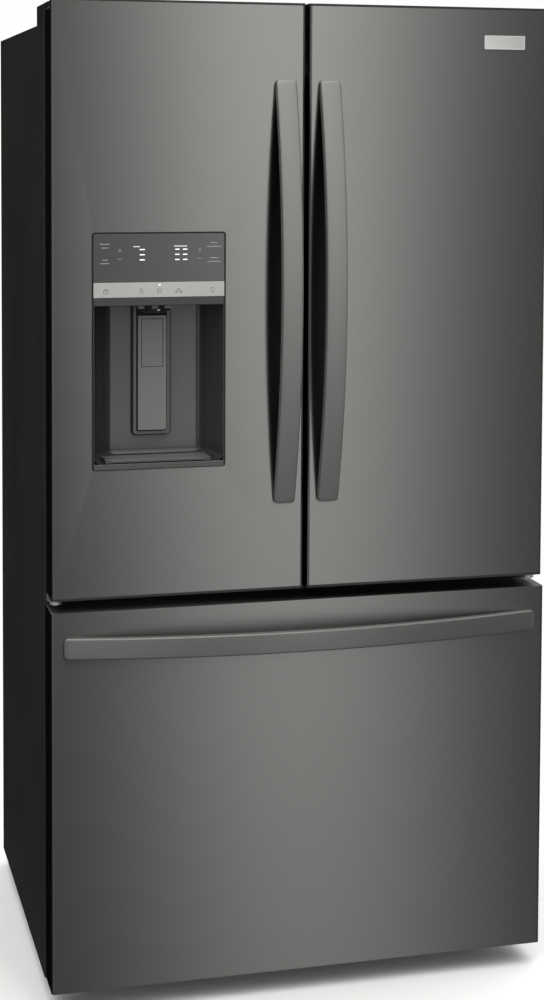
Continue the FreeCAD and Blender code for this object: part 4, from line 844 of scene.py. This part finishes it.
def make_strip_marks():
    """Generic pictograms: a padlock, drop, cube and crushed-ice marks, a lamp, and one lit dot."""
    mid = (STRIP_LOW + GLASS_LOW) / 2 - 2
    lock = X0 + 24
    marks = [(lock - 4, mid - 4, lock + 4, mid - 4, 0.8), (lock - 4, mid + 1, lock + 4, mid + 1, 0.8),
             (lock - 4, mid - 4, lock - 4, mid + 1, 0.8), (lock + 4, mid - 4, lock + 4, mid + 1, 0.8)]
    marks += ring_strokes(lock, mid + 1.5, 2.8, 0.8, 8, 0, 180)
    drop = MID - 32
    marks += ring_strokes(drop, mid - 1, 2.6, 0.8, 10, 150, 240)
    marks += [(drop - 2.3, mid + 0.4, drop, mid + 4.6, 0.8), (drop + 2.3, mid + 0.4, drop, mid + 4.6, 0.8)]
    cube = MID
    marks += [(cube - 3, mid - 3, cube + 3, mid - 3, 0.8), (cube - 3, mid + 3, cube + 3, mid + 3, 0.8),
              (cube - 3, mid - 3, cube - 3, mid + 3, 0.8), (cube + 3, mid - 3, cube + 3, mid + 3, 0.8)]
    for dx, dz in ((-4, -2), (0, 2.4), (4, -2)):
        x = MID + 34 + dx
        foot, peak = mid + dz - 1.6, mid + dz + 2
        marks += [(x - 2, foot, x + 2, foot, 0.7), (x - 2, foot, x, peak, 0.7), (x + 2, foot, x, peak, 0.7)]
    lamp = X1 - 24
    marks += ring_strokes(lamp, mid + 1.5, 3.2, 0.8, 12, -60, 300)
    marks += [(lamp - 1.6, mid - 2.6, lamp + 1.6, mid - 2.6, 0.8),
              (lamp - 1.3, mid - 4.4, lamp + 1.3, mid - 4.4, 0.8)]
    bars_on_panel("strip_marks", marks, STRIP_FACE, INK)
    dot = (MID - 1.2, GLASS_LOW - 5, MID + 1.2, GLASS_LOW - 5, 2.2)
    bars_on_panel("strip_dot", [dot], STRIP_FACE, DIGIT)


make_display()
make_strip_marks()


# ---------------------------------------------------------------- flanges and badge

# the door flanges stop at the hinge's recess above and clear its pin below
HINGE_EDGE = 386.0
PIN_CLEARANCE = 32.0
EDGE_DEPTH = (68.8, 70.2)
FLANGE_ROUND = 0.3


def make_flanges():
    """Folded edges that close the foam: along the doors' rear edges and at the cabinet's rear corners."""
    for side, body in (("left", "left_door"), ("right", "right_door")):
        foam_low, foam_high = node_box(f"door_{side}_foam")
        liner_low, liner_high = node_box(f"door_{side}_liner")
        ends = sorted((abs(foam_low[0]), abs(foam_high[0])))
        sign = -1 if side == "left" else 1
        bm = bmesh.new()
        top_x = sorted((sign * (ends[0] + 0.5), sign * HINGE_EDGE))
        add_block(bm, top_x, EDGE_DEPTH, (liner_high[2] + 0.2, foam_high[2] - 0.2), FLANGE_ROUND, 2)
        low_x = sorted((sign * (ends[0] + 0.5), sign * (ends[1] - PIN_CLEARANCE)))
        add_block(bm, low_x, EDGE_DEPTH, (foam_low[2] + 0.2, liner_low[2] - 0.2), FLANGE_ROUND, 2)
        cap = f"door_{side}_end_caps"
        finish_mesh(bm, f"door_{side}_edge_flanges", MATERIALS[slot_of[cap]], body)
    cover_high = node_box("machine_cover")[1]
    foam_low, foam_high = node_box("foam_insulation")
    bm = bmesh.new()
    for sign in (-1, 1):
        x = sorted((sign * (cover_high[0] + 0.3), sign * (foam_high[0] - 0.2)))
        y = (foam_high[1] + 0.1, foam_high[1] + 1.1)
        add_block(bm, x, y, (foam_low[2], cover_high[2] + 1.5), FLANGE_ROUND, 2)
    finish_mesh(bm, "rear_corner_flanges", MATERIALS["cabinet_paint"], "cabinet")


make_flanges()


def make_badge():
    """A blank name plate with a raised rim."""
    low, high = node_box("badge_plate")
    outer = rounded_loop((low[0], high[0]), (low[2], high[2]), 2.0, 4)
    plate("badge_blank", outer, (low[1], 0), MATERIALS["badge"], "right_door", 0.6, "badge_plate")
    start, end = 0.3, 2.2
    base, proud = low[1], low[1] - 0.5
    rim_out = rounded_loop((low[0] + start, high[0] - start), (low[2] + start, high[2] - start), 1.9, 4)
    rim_in = rounded_loop((low[0] + end, high[0] - end), (low[2] + end, high[2] - end), 1.2, 4)
    bm = bmesh.new()
    stack = ((rim_out, base), (rim_out, proud), (rim_in, proud), (rim_in, base))
    loops = [[bm.verts.new((px, y, pz)) for px, pz in loop] for loop, y in stack]
    bridge(bm, loops)
    # the rim takes the light grey painted highlight in place of chrome
    finish_mesh(bm, "badge_rim", GLINT_GREY, "right_door")


make_badge()


# ---------------------------------------------------------------- camera, floor and light

# the camera fitted to the photograph: place in design millimetres, turns in radians, and the focal
# length and downward shift as shares of the picture's height
EYE = (-901.5, -3217.66, 1529.27)
YAW, PITCH, ROLL = 0.2549, -0.0568, 0.0045
SENSOR, FOCAL, SHIFT, FAR = 36, 1.8979, -0.2535, 60


def make_camera():
    data = bpy.data.cameras.new("camera")
    camera = bpy.data.objects.new("camera", data)
    bpy.context.scene.collection.objects.link(camera)
    data.sensor_width = SENSOR
    data.sensor_fit = "AUTO"
    data.lens = SENSOR * FOCAL
    data.shift_y = SHIFT
    data.clip_end = FAR
    level, rise = math.cos(PITCH), math.sin(PITCH)
    forward = Vector((math.sin(YAW) * level, math.cos(YAW) * level, rise))
    right = Vector((math.cos(YAW), -math.sin(YAW), 0))
    up = right.cross(forward)
    lean, tip = math.cos(ROLL), math.sin(ROLL)
    right, up = (right * lean + up * tip, up * lean - right * tip)
    turn = Matrix((right, up, -forward)).transposed().to_4x4()
    camera.matrix_world = Matrix.Translation(at(*EYE)) @ turn
    bpy.context.scene.camera = camera


# the floor, in metres: opaque out to the first radius, gone at the edge, and just under the feet
FLOOR_SOLID, FLOOR_REACH, FLOOR_SINK = 0.52, 0.86, 0.0005
FLOOR_SIDES, FADE_END = 96, 0.97


def make_stage():
    """A pale floor that fades out, so that no edge of it shows."""
    bm = bmesh.new()
    bmesh.ops.create_circle(bm, cap_ends=True, segments=FLOOR_SIDES, radius=FLOOR_REACH)
    mesh = bpy.data.meshes.new("floor")
    bm.to_mesh(mesh)
    bm.free()
    floor = bpy.data.objects.new("floor", mesh)
    floor.location = (0, 0, -FLOOR_SINK)
    bpy.context.scene.collection.objects.link(floor)
    n = Nodes("floor_pale")
    cloud = n.noise(0.6, 2.0)
    tint = n.mix(n.between(cloud, 0.0, 1.0), (0.80, 0.80, 0.80), (0.84, 0.84, 0.84))
    n.set(Base_Color=tint, Roughness=0.9, Specular_IOR_Level=0.1)
    away = n.add("ShaderNodeVectorMath", {0: n.place}, operation="LENGTH").outputs["Value"]
    fade = n.add("ShaderNodeMapRange", {"Value": away, "From Min": FLOOR_SOLID,
                                        "From Max": FLOOR_REACH * FADE_END},
                 interpolation_type="SMOOTHSTEP").outputs[0]
    mirrored = n.add("ShaderNodeLightPath", {}).outputs["Is Glossy Ray"]
    fade = n.add("ShaderNodeMath", {0: mirrored, 1: fade}, operation="MAXIMUM").outputs[0]
    gone = n.add("ShaderNodeBsdfTransparent").outputs[0]
    join = n.add("ShaderNodeMixShader", {0: fade, 1: n.shader.outputs[0], 2: gone}).outputs[0]
    n.tree.links.new(join, n.tree.nodes["Material Output"].inputs["Surface"])
    mesh.materials.append(n.material)


# soft upright light bands round the room: (bearing in degrees from straight ahead towards +X,
# half-width in degrees, brightness)
BANDS = ((15.4, 2.75, 4.2), (-12.0, 4.5, 2.0), (-54.0, 12.0, 1.3), (88.0, 14.0, 1.1), (135.0, 13.0, 1.2))
DARK_BEARING, DARK_SPREAD, DARK_DEPTH = -170.0, 22.0, 0.93
AMBIENT_LOW, AMBIENT_HIGH = 0.04, 0.10
TOP_LIGHT = 2.8
# each as the heights of a direction (-1 down, 1 up) between which it grows, and the bands' lowest share
ROOM_RISE, TOP_RISE, BAND_RISE, BAND_FOOT = (-0.6, 0.5), (0.55, 1.0), (-0.50, 0.12), 0.12


def make_world():
    """A studio: white to the eye, and soft upright bands of light on a dim room for the reflections."""
    world = bpy.data.worlds.new("studio")
    bpy.context.scene.world = world
    world.use_nodes = True
    tree = world.node_tree
    tree.nodes.clear()

    def add(kind, inputs, **settings):
        node = tree.nodes.new(kind)
        for key, value in settings.items():
            setattr(node, key, value)
        for key, value in inputs.items():
            if isinstance(value, bpy.types.NodeSocket):
                tree.links.new(value, node.inputs[key])
            else:
                node.inputs[key].default_value = value
        return node.outputs

    def maths(operation, a, b=0.0, c=0.0):
        return add("ShaderNodeMath", {0: a, 1: b, 2: c}, operation=operation)[0]

    way = add("ShaderNodeTexCoord", {})["Generated"]
    height = add("ShaderNodeSeparateXYZ", {0: way})[2]
    room = add("ShaderNodeMapRange", {"Value": height, "From Min": ROOM_RISE[0], "From Max": ROOM_RISE[1],
                                      "To Min": AMBIENT_LOW, "To Max": AMBIENT_HIGH},
               interpolation_type="SMOOTHSTEP")[0]
    top = add("ShaderNodeMapRange", {"Value": height, "From Min": TOP_RISE[0], "From Max": TOP_RISE[1],
                                     "To Min": 0.0, "To Max": TOP_LIGHT},
              interpolation_type="SMOOTHSTEP")[0]

    def bell(bearing, spread):
        turn = math.radians(bearing)
        ahead = add("ShaderNodeVectorMath", {0: way, 1: (math.sin(turn), -math.cos(turn), 0)},
                    operation="DOT_PRODUCT")["Value"]
        aside = add("ShaderNodeVectorMath", {0: way, 1: (math.cos(turn), math.sin(turn), 0)},
                    operation="DOT_PRODUCT")["Value"]
        angle = maths("ARCTAN2", aside, ahead)
        ratio = maths("DIVIDE", angle, math.radians(spread) * math.sqrt(2))
        return maths("EXPONENT", maths("MULTIPLY", maths("MULTIPLY", ratio, ratio), -1.0))

    dark = maths("MULTIPLY_ADD", bell(DARK_BEARING, DARK_SPREAD), -DARK_DEPTH, 1.0)
    total = maths("ADD", maths("MULTIPLY", room, dark), top)
    tall = add("ShaderNodeMapRange", {"Value": height, "From Min": BAND_RISE[0], "From Max": BAND_RISE[1],
                                      "To Min": BAND_FOOT, "To Max": 1.0})[0]
    for bearing, spread, power in BANDS:
        total = maths("MULTIPLY_ADD", maths("MULTIPLY", bell(bearing, spread), tall), power, total)
    studio = add("ShaderNodeBackground", {"Color": (1, 0.995, 0.985, 1), "Strength": total})[0]
    pale = add("ShaderNodeBackground", {"Color": (1, 1, 1, 1), "Strength": 1.0})[0]
    seen = add("ShaderNodeLightPath", {})["Is Camera Ray"]
    mixed = add("ShaderNodeMixShader", {0: seen, 1: studio, 2: pale})[0]
    add("ShaderNodeOutputWorld", {"Surface": mixed})


make_camera()
make_stage()
make_world()
bpy.context.scene.view_settings.view_transform = "Standard"
